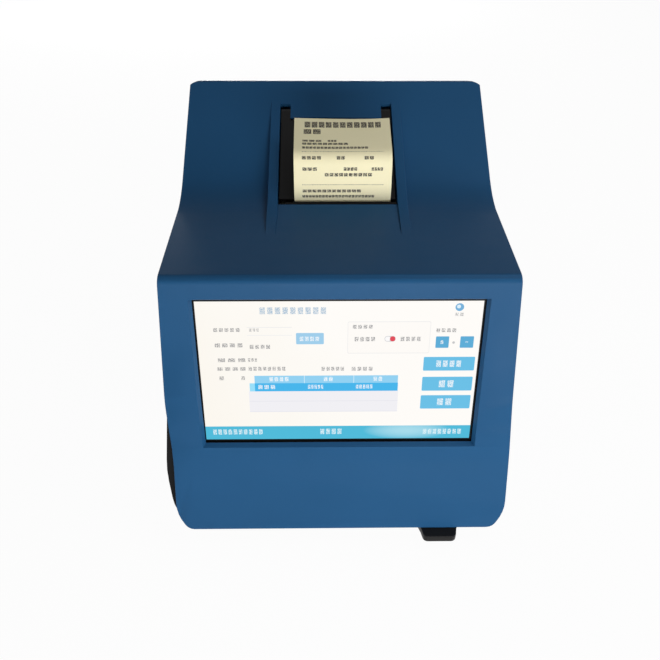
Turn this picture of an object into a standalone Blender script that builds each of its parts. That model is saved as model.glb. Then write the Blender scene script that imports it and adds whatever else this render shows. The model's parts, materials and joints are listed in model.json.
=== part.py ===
# Benchtop test strip analyser: sloping touch screen, receipt printer in the back slope, card tray below.
# Units are metres, +Z is up, the screen looks towards -Y, and the feet stand on Z = 0.

import math

import bmesh
import bpy
from mathutils import Matrix, Vector
from mathutils.geometry import interpolate_bezier

# Driving dimensions of the screen
SCREEN_WIDTH = 0.1552
SCREEN_HEIGHT = 0.0891
SCREEN_SIDE = 0.0177
SCREEN_TOP_MARGIN = 0.01575

# Driving dimensions of the housing, whose width follows the screen
TOP_WIDTH = SCREEN_WIDTH + SCREEN_SIDE * 2
SKIRT_SPREAD = 0.0082
SKIRT_WIDTH = TOP_WIDTH + SKIRT_SPREAD * 2
BELLY_SPREAD = 0.0085
BELLY_WIDTH = TOP_WIDTH + BELLY_SPREAD * 2
BODY_DEPTH = 0.1980
RIDGE_Z = 0.1820
RIDGE_SETBACK = 0.0295
FACE_FOOT_Z = 0.0130
BEND_INSET = 0.0842
BEND_Y = BODY_DEPTH - BEND_INSET
BACK_SLOPE = math.radians(30.1)
PARTING_Z = 0.0950
SKIRT_DEPTH = 0.0090
WALL = 0.0030
BEND_RADIUS = 0.0600
RIDGE_RADIUS = 0.0050
REAR_TOP_RADIUS = 0.0035
REAR_CORNER_RADIUS = 0.0300
SKIRT_FOOT_INSET = 0.0072
SKIRT_FOOT_RADIUS = 0.0060
SKIRT_TURN_RISE = 0.0120
SKIRT_TURN_RADIUS = 0.0300
EDGE_ROUND = 0.0030

# Driving dimensions of the base
BASE_Z = 0.0035
BELLY_Z = 0.0550
BELLY_RADIUS = 0.0900
BELLY_FOOT_INSET = 0.0195
BELLY_FOOT_RADIUS = 0.0080
BELLY_TURN_INSET = 0.0023
BELLY_TURN_Z = 0.0240
BELLY_TURN_RADIUS = 0.0300

# Driving dimensions of the printer
PRINTER_SLOPE = math.radians(24.7)
SLOT_INSET = 0.0935
SLOT_Y = BODY_DEPTH - SLOT_INSET
SLOT_RISE = 0.0029
SLOT_Z = RIDGE_Z + SLOT_RISE
PRINTER_WIDTH = 0.0710
PRINTER_LENGTH = 0.0690
PAPER_MARGIN = 0.0135
PAPER_WIDTH = PRINTER_WIDTH - PAPER_MARGIN
PAPER_OFFSET = 0.0030
PAPER_LEFT = PAPER_OFFSET - PAPER_WIDTH / 2
PAPER_RIGHT = PAPER_OFFSET + PAPER_WIDTH / 2

# Driving dimensions of the card reader
TRAY_INSET = 0.0316
TRAY_X = TOP_WIDTH / 2 - TRAY_INSET
TRAY_WIDTH = 0.0250
TRAY_LENGTH = 0.1300
NOSE_WIDTH = 0.0223
NOSE_REACH = 0.0065
CARD_WIDTH = 0.0200
CARD_LENGTH = 0.0700

# Clearances and general values
GAP = 0.0003
OVERRUN = 0.0020
MERGE = 0.00001
FACET_DEPTH = 0.0001
ROUND_SIDES = 24
SMALL_SIDES = 12
SHARP_ANGLE = math.radians(35)
BEVEL_ANGLE = math.radians(50)
ONE_DEGREE = math.radians(1)

# Rear parts stand this far behind the rear wall
REAR_HEAD_HEIGHT = 0.0012
REAR_REACH = GAP + REAR_HEAD_HEIGHT
FRONT_Y = NOSE_REACH - (NOSE_REACH + BODY_DEPTH + REAR_REACH) / 2
FACE_LEAN = math.atan2(RIDGE_SETBACK, RIDGE_Z - FACE_FOOT_Z)
FACE_LENGTH = math.hypot(RIDGE_SETBACK, RIDGE_Z - FACE_FOOT_Z)
SCREEN_LOW = FACE_LENGTH - SCREEN_TOP_MARGIN - SCREEN_HEIGHT


# Scene and collections

for old in list(bpy.data.objects):
    bpy.data.objects.remove(old, do_unlink=True)

PARTS = bpy.data.collections.new("strip_analyser")
CUTTERS = bpy.data.collections.new("cutters")
for collection in (PARTS, CUTTERS):
    bpy.context.scene.collection.children.link(collection)


def material(name, colour, roughness, metallic=0.0, transmission=0.0):
    """Principled material of one finish."""
    finish = bpy.data.materials.new(name)
    finish.use_nodes = True
    shader = finish.node_tree.nodes["Principled BSDF"]
    shader.inputs["Base Color"].default_value = (*colour, 1.0)
    shader.inputs["Roughness"].default_value = roughness
    shader.inputs["Metallic"].default_value = metallic
    shader.inputs["Transmission Weight"].default_value = transmission
    finish.diffuse_color = (*colour, 1.0)
    return finish


BLUE_PLASTIC = material("blue_plastic", (0.026, 0.110, 0.260), 0.42)
BLACK_PLASTIC = material("black_plastic", (0.010, 0.010, 0.011), 0.45)
DARK_PLASTIC = material("dark_plastic", (0.030, 0.031, 0.034), 0.55)
GREY_PLASTIC = material("grey_plastic", (0.250, 0.250, 0.240), 0.50)
RUBBER = material("black_rubber", (0.020, 0.020, 0.020), 0.80)
STEEL = material("steel", (0.550, 0.560, 0.570), 0.30, 1.0)
BRASS = material("brass", (0.600, 0.420, 0.160), 0.35, 1.0)
SCREEN_GLASS = material("screen_glass", (0.880, 0.890, 0.880), 0.15)
CIRCUIT_GREEN = material("circuit_board", (0.020, 0.120, 0.050), 0.50)
PAPER = material("thermal_paper", (0.760, 0.740, 0.560), 0.70)
CARDBOARD = material("cardboard", (0.420, 0.300, 0.170), 0.85)
CLEAR_GLASS = material("lens_glass", (0.850, 0.900, 0.920), 0.05, 0.0, 0.9)


# Frames that carry the pieces

def frame(name, location, tilt=0.0, parent=None):
    """Empty that carries pieces, tilted about X."""
    empty = bpy.data.objects.new(name, None)
    empty.location = location
    empty.rotation_euler = (tilt, 0.0, 0.0)
    empty.parent = parent
    PARTS.objects.link(empty)
    return empty


# Housing frame: y = 0 at the lower front edge of the face
HOUSING = frame("housing_frame", (0.0, FRONT_Y, 0.0))
# Face frame: y goes into the face, z goes up along it
FACE = frame("face_frame", (0.0, 0.0, FACE_FOOT_Z), -FACE_LEAN, HOUSING)
# Printer frame: y goes up the slope from the paper slot, z stands out of it
PRINTER = frame("printer_frame_axes", (0.0, SLOT_Y, SLOT_Z), PRINTER_SLOPE, HOUSING)


# Shapes used by many pieces

def add_object(name, mesh, finish, parent, cutter=False):
    """Object from a mesh, as a part or as a cutter."""
    item = bpy.data.objects.new(name, mesh)
    item.parent = parent
    if cutter:
        CUTTERS.objects.link(item)
        item.hide_render = True
        item.display_type = "WIRE"
        return item
    PARTS.objects.link(item)
    mesh.materials.append(finish)
    mesh.shade_smooth()
    mesh.set_sharp_from_angle(angle=SHARP_ANGLE)
    return item


def block(name, low, high, finish=None, parent=None, cutter=False):
    """Box between two corners."""
    return blocks(name, [(low, high)], finish, parent, cutter)


def blocks(name, corners, finish=None, parent=None, cutter=False):
    """Boxes that don't meet, in one mesh."""
    shape = bmesh.new()
    for low, high in corners:
        size = Vector(high) - Vector(low)
        middle = (Vector(high) + Vector(low)) / 2
        made = bmesh.ops.create_cube(shape, size=1.0)
        bmesh.ops.scale(shape, vec=size, verts=made["verts"])
        bmesh.ops.translate(shape, vec=middle, verts=made["verts"])
    mesh = bpy.data.meshes.new(name)
    shape.to_mesh(mesh)
    shape.free()
    return add_object(name, mesh, finish, parent or HOUSING, cutter)


def axis_turn(axis):
    """Matrix that lays a shape's own Z along an axis: for X, (a, b) become (y, z)."""
    if axis == "X":
        return Matrix(((0, 0, 1, 0), (1, 0, 0, 0), (0, 1, 0, 0), (0, 0, 0, 1)))
    if axis == "Y":
        return Matrix(((1, 0, 0, 0), (0, 0, -1, 0), (0, 1, 0, 0), (0, 0, 0, 1)))
    return Matrix.Identity(4)


def along(axis, distance):
    """Shift along an axis."""
    places = {"X": (distance, 0.0, 0.0), "Y": (0.0, distance, 0.0), "Z": (0.0, 0.0, distance)}
    return Matrix.Translation(places[axis])


def prism(name, outline, low, high, axis, finish=None, parent=None, cutter=False):
    """Flat outline drawn out between two places on an axis."""
    curve = bpy.data.curves.new(name, "CURVE")
    curve.dimensions = "2D"
    curve.fill_mode = "BOTH"
    curve.extrude = (high - low) / 2
    spline = curve.splines.new("POLY")
    spline.points.add(len(outline) - 1)
    for point, place in zip(spline.points, outline):
        point.co = (place[0], place[1], 0.0, 1.0)
    spline.use_cyclic_u = True
    holder = bpy.data.objects.new(name, curve)
    CUTTERS.objects.link(holder)
    graph = bpy.context.evaluated_depsgraph_get()
    mesh = bpy.data.meshes.new_from_object(holder.evaluated_get(graph))
    bpy.data.objects.remove(holder, do_unlink=True)
    shape = bmesh.new()
    shape.from_mesh(mesh)
    bmesh.ops.remove_doubles(shape, verts=shape.verts, dist=MERGE)
    bmesh.ops.dissolve_limit(shape, angle_limit=ONE_DEGREE, verts=shape.verts, edges=shape.edges)
    bmesh.ops.recalc_face_normals(shape, faces=shape.faces)
    bmesh.ops.transform(
        shape, matrix=along(axis, (low + high) / 2) @ axis_turn(axis), verts=shape.verts
    )
    shape.to_mesh(mesh)
    shape.free()
    mesh.materials.clear()
    return add_object(name, mesh, finish, parent or HOUSING, cutter)


def rod(name, radius, centre, low, high, axis, finish=None, parent=None, cutter=False, sides=ROUND_SIDES):
    """Cylinder between two places on an axis, its centre given in the plane across it."""
    shape = bmesh.new()
    bmesh.ops.create_cone(
        shape, cap_ends=True, segments=sides, radius1=radius, radius2=radius, depth=high - low
    )
    across = axis_turn(axis) @ Vector((centre[0], centre[1], 0.0))
    place = Matrix.Translation(across) @ along(axis, (low + high) / 2) @ axis_turn(axis)
    bmesh.ops.transform(shape, matrix=place, verts=shape.verts)
    mesh = bpy.data.meshes.new(name)
    shape.to_mesh(mesh)
    shape.free()
    return add_object(name, mesh, finish, parent or HOUSING, cutter)


def turned(name, profile, place, finish, parent, sides=ROUND_SIDES):
    """Shape turned about Z from (radius, height) points that run down its outer side."""
    mesh = bpy.data.meshes.new(name)
    points = [(radius, 0.0, height) for radius, height in profile]
    edges = [(index, index + 1) for index in range(len(points) - 1)]
    closed = profile[0][0] > 0.0
    if closed:
        edges.append((len(points) - 1, 0))
    mesh.from_pydata(points, edges, [])
    item = add_object(name, mesh, finish, parent or HOUSING)
    item.location = place
    screw = item.modifiers.new("turn", "SCREW")
    screw.steps = sides
    screw.render_steps = sides
    screw.use_merge_vertices = True
    screw.merge_threshold = MERGE
    screw.use_smooth_shade = True
    return item


def rounded(corners):
    """Closed outline from (a, b, radius) corners, each radius drawn as an arc."""
    outline = []
    count = len(corners)
    for index, (a, b, radius) in enumerate(corners):
        here = Vector((a, b))
        if radius <= 0.0:
            outline.append(tuple(here))
            continue
        before = (Vector(corners[index - 1][:2]) - here).normalized()
        after = (Vector(corners[(index + 1) % count][:2]) - here).normalized()
        opening = before.angle(after)
        reach = radius / math.tan(opening / 2)
        centre = here + (before + after).normalized() * (radius / math.sin(opening / 2))
        start = here + before * reach - centre
        turn = math.pi - opening
        side = 1.0 if before.x * after.y - before.y * after.x < 0.0 else -1.0
        facet = math.acos(1.0 - FACET_DEPTH / max(radius, FACET_DEPTH * 2)) * 2
        steps = max(2, math.ceil(turn / facet))
        for step in range(steps + 1):
            angle = side * turn * step / steps
            spin = Matrix.Rotation(angle, 2)
            outline.append(tuple(centre + spin @ start))
    return outline


def inset(corners, distance):
    """Corners of an outline moved inwards by one distance, with mitred corners."""
    count = len(corners)
    area = sum(
        corners[i - 1][0] * corners[i][1] - corners[i][0] * corners[i - 1][1] for i in range(count)
    )
    side = 1.0 if area > 0.0 else -1.0
    moved = []
    for index in range(count):
        here = Vector(corners[index][:2])
        before = (here - Vector(corners[index - 1][:2])).normalized()
        after = (Vector(corners[(index + 1) % count][:2]) - here).normalized()
        first = Vector((-before.y, before.x)) * side
        second = Vector((-after.y, after.x)) * side
        mitre = (first + second) / (1.0 + first.dot(second))
        moved.append(here + mitre * distance)
    return moved


def boolean(item, other, operation):
    """Boolean modifier with another object."""
    change = item.modifiers.new(other.name, "BOOLEAN")
    change.object = other
    change.operation = operation
    change.solver = "EXACT"


def cut(item, *others):
    """Take other solids away from an item."""
    for other in others:
        boolean(item, other, "DIFFERENCE")


def join(item, *others):
    """Fuse other solids with an item."""
    for other in others:
        boolean(item, other, "UNION")


def keep_inside(item, *others):
    """Keep only what lies inside the other solids."""
    for other in others:
        boolean(item, other, "INTERSECT")


def soften(item, width, segments=2, angle=BEVEL_ANGLE):
    """Round the sharp edges of an item."""
    bevel = item.modifiers.new("soft_edges", "BEVEL")
    bevel.width = width
    bevel.segments = segments
    bevel.limit_method = "ANGLE"
    bevel.angle_limit = angle


def carry(item, empty):
    """Give an item its origin on the frame that carries it, without moving it."""
    item.data.transform(Matrix.Translation(-empty.location))
    item.parent = empty


# Outlines of the housing

def face_y(height):
    """Where the leaning face stands at a height."""
    return RIDGE_SETBACK * (height - FACE_FOOT_Z) / (RIDGE_Z - FACE_FOOT_Z)


def slope_z(y):
    """Height of the back slope above a place."""
    return RIDGE_Z + (y - BEND_Y) * math.tan(BACK_SLOPE)


def half_width(height):
    """Half the width of the upper shell at a height."""
    share = (RIDGE_Z - height) / (RIDGE_Z - FACE_FOOT_Z)
    return (TOP_WIDTH + (SKIRT_WIDTH - TOP_WIDTH) * share) / 2


REAR_TOP_Z = slope_z(BODY_DEPTH)
SHELL_CORNERS = [
    (0.0, FACE_FOOT_Z),
    (RIDGE_SETBACK, RIDGE_Z),
    (BEND_Y, RIDGE_Z),
    (BODY_DEPTH, REAR_TOP_Z),
    (BODY_DEPTH, FACE_FOOT_Z),
]


def shell_outline():
    """Side view of the blue shell, with its skirt behind the face."""
    return rounded([
        (0.0, FACE_FOOT_Z, 0.0),
        (RIDGE_SETBACK, RIDGE_Z, RIDGE_RADIUS),
        (BEND_Y, RIDGE_Z, BEND_RADIUS),
        (BODY_DEPTH, REAR_TOP_Z, REAR_TOP_RADIUS),
        (BODY_DEPTH, PARTING_Z, 0.0),
        (face_y(PARTING_Z) + SKIRT_DEPTH, PARTING_Z, 0.0),
        (SKIRT_DEPTH, FACE_FOOT_Z, 0.0),
    ])


def cavity_outline():
    """Side view of the space inside the blue shell, open below and behind the face."""
    foot, ridge, bend, top, rear = inset(SHELL_CORNERS, WALL)
    return rounded([
        (foot.x, foot.y, 0.0),
        (ridge.x, ridge.y, RIDGE_RADIUS - WALL),
        (bend.x, bend.y, BEND_RADIUS + WALL),
        (top.x, top.y, REAR_TOP_RADIUS - WALL),
        (rear.x, rear.y, 0.0),
    ])


def width_outline():
    """Front view of the blue shell, whose sides flare down to a turned-in foot."""
    half = TOP_WIDTH / 2
    high = REAR_TOP_Z + OVERRUN
    foot = SKIRT_WIDTH / 2 - SKIRT_FOOT_INSET
    turn_z = FACE_FOOT_Z + SKIRT_TURN_RISE
    turn = half_width(turn_z)
    return rounded([
        (-foot, FACE_FOOT_Z, SKIRT_FOOT_RADIUS),
        (foot, FACE_FOOT_Z, SKIRT_FOOT_RADIUS),
        (turn, turn_z, SKIRT_TURN_RADIUS),
        (half, RIDGE_Z, 0.0),
        (half, high, 0.0),
        (-half, high, 0.0),
        (-half, RIDGE_Z, 0.0),
        (-turn, turn_z, SKIRT_TURN_RADIUS),
    ])


def plan_outline(half, front, rear, radius):
    """Top view with rounded rear corners."""
    return rounded([
        (-half, front, 0.0),
        (half, front, 0.0),
        (half, rear, radius),
        (-half, rear, radius),
    ])


def plan_guide(name, depth):
    """Upright guide with the rounded rear corners of the housing, moved inwards by a depth."""
    half = SKIRT_WIDTH / 2 + EDGE_ROUND - depth
    outline = plan_outline(half, -OVERRUN, BODY_DEPTH - depth, REAR_CORNER_RADIUS - depth)
    return prism(name, outline, -OVERRUN, REAR_TOP_Z + OVERRUN, "Z", cutter=True)


# Upper shell: one moulding with the face, the shoulder, the back slope and the printer pad

PAD_END_INSET = 0.0200
PAD_END_Y = BODY_DEPTH - PAD_END_INSET
RAMP_LENGTH = 0.0270
RAMP_FOOT_Y = SLOT_Y - RAMP_LENGTH
CHEEK_LENGTH = 0.0340
CHEEK_FOOT_Y = SLOT_Y - CHEEK_LENGTH
CHEEK_END_INSET = 0.0140
CHEEK_END_Y = BODY_DEPTH - CHEEK_END_INSET
CHEEK_RISE = 0.0022
CHEEK_WIDTH = 0.0060
CHEEK_ROUND = 0.0008
PRINTER_GAP = 0.0003
BRIDGE_LENGTH = 0.0113
ARM_WIDTH = 0.0060
WINDOW_MARGIN = 0.0006
WINDOW_BEVEL = 0.0024
REAR_WINDOW_SIDE = 0.0353
REAR_WINDOW_WIDTH = TOP_WIDTH - REAR_WINDOW_SIDE * 2
REAR_WINDOW_LOW = 0.0340
REAR_WINDOW_HIGH = 0.1380
REAR_PANEL_MARGIN = 0.0100
REAR_PANEL_RECESS = 0.0018
CASE_BOSS_SIDE = 0.0213
CASE_BOSS_X = TOP_WIDTH / 2 - CASE_BOSS_SIDE
CASE_BOSS_INSET = 0.0130
CASE_BOSS_Y = BODY_DEPTH - CASE_BOSS_INSET
CASE_BOSS_SIZE = 0.0100
CASE_BOSS_LOW = 0.0500
CASE_BOSS_HIGH = 0.1050
CASE_SCREW_RADIUS = 0.0015
CASE_SCREW_TIP_Z = 0.0600
TOUCH_BORDER = 0.0054
TOUCH_WIDTH = SCREEN_WIDTH + TOUCH_BORDER * 2
TOUCH_HEIGHT = SCREEN_HEIGHT + TOUCH_BORDER * 2
BRACKET_TAB = 0.0085
BRACKET_WIDTH = TOUCH_WIDTH + BRACKET_TAB * 2
BRACKET_RIM = 0.0042
BRACKET_HEIGHT = TOUCH_HEIGHT + BRACKET_RIM * 2
DISPLAY_BOSS_EDGE = 0.0034
DISPLAY_BOSS_X = BRACKET_WIDTH / 2 - DISPLAY_BOSS_EDGE
DISPLAY_BOSS_SPREAD = BRACKET_HEIGHT - DISPLAY_BOSS_EDGE * 2
DISPLAY_BOSS_RADIUS = 0.0032
DISPLAY_SCREW_RADIUS = 0.0012
DISPLAY_SCREW_BITE = 0.0060
GASKET_THICKNESS = 0.0008
TOUCH_THICKNESS = 0.0018
LCD_THICKNESS = 0.0057
SCREEN_MID = SCREEN_LOW + SCREEN_HEIGHT / 2
TOUCH_DEPTH = WALL + GAP + GASKET_THICKNESS + GAP
LCD_DEPTH = TOUCH_DEPTH + TOUCH_THICKNESS + GAP
BRACKET_DEPTH = LCD_DEPTH + LCD_THICKNESS + GAP
DISPLAY_BOSSES = [
    (side * DISPLAY_BOSS_X, SCREEN_MID + row * DISPLAY_BOSS_SPREAD / 2)
    for row in (-1, 1) for side in (-1, 1)
]


def pad_outline(foot, rise, end):
    """Side view of the printer pad or of a cheek, rooted in the middle of the shell's wall."""
    middle = inset(SHELL_CORNERS, WALL / 2)
    root_bend = middle[2]
    root_end = slope_z(end) - (WALL / 2) / math.cos(BACK_SLOPE)
    top_end = min(SLOT_Z + rise + (end - SLOT_Y) * math.tan(PRINTER_SLOPE), slope_z(end) - GAP)
    return rounded([
        (foot, middle[1].y, 0.0),
        (root_bend.x, root_bend.y, BEND_RADIUS),
        (end, root_end, 0.0),
        (end, top_end, 0.0),
        (SLOT_Y, SLOT_Z + rise, 0.0),
        (foot, RIDGE_Z - GAP, 0.0),
    ])


def window_cutter():
    """Four sided taper through the face for the screen window."""
    cutter = block(
        "window_cutter",
        (-SCREEN_WIDTH / 2, -OVERRUN, SCREEN_LOW),
        (SCREEN_WIDTH / 2, WALL + OVERRUN, SCREEN_LOW + SCREEN_HEIGHT),
        parent=FACE, cutter=True,
    )
    spread_per_depth = WINDOW_BEVEL / WALL
    for vertex in cutter.data.vertices:
        spread = WINDOW_MARGIN + (WALL - vertex.co.y) * spread_per_depth
        vertex.co.x += math.copysign(spread, vertex.co.x)
        vertex.co.z += math.copysign(spread, vertex.co.z - SCREEN_MID)
    return cutter


def make_upper_shell():
    """The blue moulding."""
    reach = SKIRT_WIDTH / 2 + OVERRUN
    shell = prism("upper_shell", shell_outline(), -reach, reach, "X", BLUE_PLASTIC)
    width_guide = prism(
        "width_guide", width_outline(), -OVERRUN, BODY_DEPTH + OVERRUN, "Y", cutter=True
    )
    keep_inside(shell, width_guide, plan_guide("shell_plan_guide", 0.0))
    soften(shell, EDGE_ROUND, 3)

    pad_half = PRINTER_WIDTH / 2 + PRINTER_GAP
    pad = prism(
        "printer_pad", pad_outline(RAMP_FOOT_Y, 0.0, PAD_END_Y), -pad_half - OVERRUN,
        pad_half + OVERRUN, "X", cutter=True,
    )
    join(shell, pad)
    cavity_half = TOP_WIDTH / 2 - WALL
    cavity = prism("shell_cavity", cavity_outline(), -cavity_half, cavity_half, "X", cutter=True)
    keep_inside(cavity, plan_guide("cavity_plan_guide", WALL))
    cut(shell, cavity)
    for side, name in ((-1, "left"), (1, "right")):
        inner = side * pad_half
        outer = side * (pad_half + CHEEK_WIDTH)
        cheek = prism(
            f"cheek_{name}", pad_outline(CHEEK_FOOT_Y, CHEEK_RISE, CHEEK_END_Y),
            min(inner, outer), max(inner, outer), "X", cutter=True,
        )
        soften(cheek, CHEEK_ROUND, 2)
        join(shell, cheek)

    for index, (x, height) in enumerate(DISPLAY_BOSSES, 1):
        boss = rod(
            f"display_boss_{index}", DISPLAY_BOSS_RADIUS, (x, height), WALL / 2,
            BRACKET_DEPTH - GAP, "Y", parent=FACE, cutter=True, sides=SMALL_SIDES,
        )
        hole = rod(
            f"display_boss_hole_{index}", DISPLAY_SCREW_RADIUS + GAP, (x, height),
            BRACKET_DEPTH - DISPLAY_SCREW_BITE - GAP, BRACKET_DEPTH + OVERRUN, "Y",
            parent=FACE, cutter=True, sides=SMALL_SIDES,
        )
        join(shell, boss)
        cut(shell, hole)

    for side, name in ((-1, "left"), (1, "right")):
        half = CASE_BOSS_SIZE / 2
        middle = side * CASE_BOSS_X
        boss = block(
            f"case_boss_{name}", (middle - half, CASE_BOSS_Y - half, CASE_BOSS_LOW),
            (middle + half, BODY_DEPTH - WALL / 2, CASE_BOSS_HIGH), cutter=True,
        )
        hole = rod(
            f"case_boss_hole_{name}", CASE_SCREW_RADIUS + GAP, (middle, CASE_BOSS_Y),
            CASE_BOSS_LOW - OVERRUN, CASE_SCREW_TIP_Z + OVERRUN, "Z", cutter=True, sides=SMALL_SIDES,
        )
        shelf = block(
            f"case_boss_relief_{name}",
            (middle - half - OVERRUN, BODY_DEPTH - WALL - GAP, CASE_BOSS_LOW - OVERRUN),
            (middle + half + OVERRUN, BODY_DEPTH, PARTING_Z), cutter=True,
        )
        cut(boss, shelf)
        join(shell, boss)
        cut(shell, hole)

    cut(shell, window_cutter())
    cut(shell, printer_opening(), *arm_notches(), hinge_relief())
    cut(shell, *rear_screw_holes("shell_screw_hole", PARTING_Z, REAR_TOP_Z))
    cut(shell, rear_recess("shell_rear_recess"), rear_window("shell_rear_window"))


def printer_opening():
    """Opening between the cheeks that the printer drops into."""
    half = PRINTER_WIDTH / 2 + PRINTER_GAP
    deep = WALL * 2 + SLOT_Z - RIDGE_Z + OVERRUN
    return block(
        "printer_opening", (-half, 0.0, -deep - OVERRUN), (half, PRINTER_LENGTH + GAP, BRIDGE_LENGTH),
        parent=PRINTER, cutter=True,
    )


def hinge_relief():
    """Thinner stretch of the bridge, over the hinge block."""
    hinge_y = HINGE_PLACE[0]
    reach = HINGE_BLOCK_HALF + OVERRUN
    return block(
        "hinge_relief", (-reach, PRINTER_LENGTH - OVERRUN, HINGE_PLACE[1] * 2),
        (reach, hinge_y + ARM_RADIUS, -WALL / 2), parent=PRINTER, cutter=True,
    )


def arm_notches():
    """Notches behind the opening for the two hinge arms."""
    notches = []
    for side, name in ((-1, "left"), (1, "right")):
        outer = side * (PRINTER_WIDTH / 2 + PRINTER_GAP)
        inner = outer - side * (ARM_WIDTH + PRINTER_GAP + GAP)
        notches.append(block(
            f"arm_notch_{name}", (min(inner, outer), PRINTER_LENGTH - OVERRUN, -WALL * 2),
            (max(inner, outer), PRINTER_LENGTH + BRIDGE_LENGTH + GAP, BRIDGE_LENGTH),
            parent=PRINTER, cutter=True,
        ))
    return notches


# Rear wall cuts, shared by both shells

def rear_window(name):
    """Opening in the rear wall behind the rear panel."""
    half = REAR_WINDOW_WIDTH / 2
    return block(
        name, (-half, BODY_DEPTH - WALL - OVERRUN, REAR_WINDOW_LOW),
        (half, BODY_DEPTH + OVERRUN, REAR_WINDOW_HIGH), cutter=True,
    )


def rear_recess(name):
    """Shallow recess that the rear panel lies in."""
    half = REAR_WINDOW_WIDTH / 2 + REAR_PANEL_MARGIN
    return block(
        name, (-half, BODY_DEPTH - REAR_PANEL_RECESS, REAR_WINDOW_LOW - REAR_PANEL_MARGIN),
        (half, BODY_DEPTH + OVERRUN, REAR_WINDOW_HIGH + REAR_PANEL_MARGIN), cutter=True,
    )


REAR_SCREW_RADIUS = 0.0012
REAR_SCREW_X = (REAR_WINDOW_WIDTH + REAR_PANEL_MARGIN) / 2
REAR_SCREW_ROWS = (
    REAR_WINDOW_LOW - REAR_PANEL_MARGIN / 2,
    REAR_WINDOW_HIGH + REAR_PANEL_MARGIN / 2,
)


def rear_screw_holes(name, low, high):
    """Screw holes of the rows between two heights."""
    holes = []
    for height in REAR_SCREW_ROWS:
        if low < height < high:
            for side in (-1, 1):
                holes.append(rod(
                    f"{name}_{len(holes)}", REAR_SCREW_RADIUS + GAP, (side * REAR_SCREW_X, height),
                    BODY_DEPTH - WALL - OVERRUN, BODY_DEPTH + OVERRUN, "Y", cutter=True,
                    sides=SMALL_SIDES,
                ))
    return holes


# Base shell: the black tub with its swelling sides

FOOT_INSET = 0.0280
FOOT_SIDE = 0.0313
FOOT_X = TOP_WIDTH / 2 - FOOT_SIDE
FOOT_RADIUS = 0.0070
FOOT_STEM_RADIUS = 0.0025
POST_RADIUS = 0.0048
POST_SHOULDER_Z = 0.0380
SCREW_HEAD_RADIUS = 0.0028
SCREW_HEAD_HEIGHT = 0.0020
VENT_COUNT = 9
VENT_PITCH = 0.0080
VENT_WIDTH = 0.0030
VENT_LENGTH = 0.0450
VENT_X = -0.0150
VENT_Y = BODY_DEPTH / 2
SLOT_TOP_Z = 0.0132
DISPLAY_ROOM_MARGIN = 0.0269
FRONT_WALL_TOP_Z = RIDGE_Z - SCREEN_HEIGHT - DISPLAY_ROOM_MARGIN
FEET = [
    (side * FOOT_X, y)
    for y in (FOOT_INSET, BODY_DEPTH - FOOT_INSET) for side in (-1, 1)
]


def base_width_corners():
    """Front view of the base: belly sides that turn under to the floor."""
    top = half_width(PARTING_Z)
    belly = BELLY_WIDTH / 2
    turn = belly - BELLY_TURN_INSET
    foot = belly - BELLY_FOOT_INSET
    return [
        (-foot, BASE_Z),
        (foot, BASE_Z),
        (turn, BELLY_TURN_Z),
        (belly, BELLY_Z),
        (top, PARTING_Z - GAP),
        (-top, PARTING_Z - GAP),
        (-belly, BELLY_Z),
        (-turn, BELLY_TURN_Z),
    ]


BASE_WIDTH_RADII = [
    BELLY_FOOT_RADIUS, BELLY_FOOT_RADIUS, BELLY_TURN_RADIUS, BELLY_RADIUS,
    0.0, 0.0, BELLY_RADIUS, BELLY_TURN_RADIUS,
]


def base_side_corners():
    """Side view of the base, its front parallel to the face behind the skirt."""
    setback = SKIRT_DEPTH + GAP
    return [
        (face_y(BASE_Z) + setback, BASE_Z),
        (BODY_DEPTH, BASE_Z),
        (BODY_DEPTH, PARTING_Z - GAP),
        (face_y(PARTING_Z) + setback, PARTING_Z - GAP),
    ]


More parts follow.
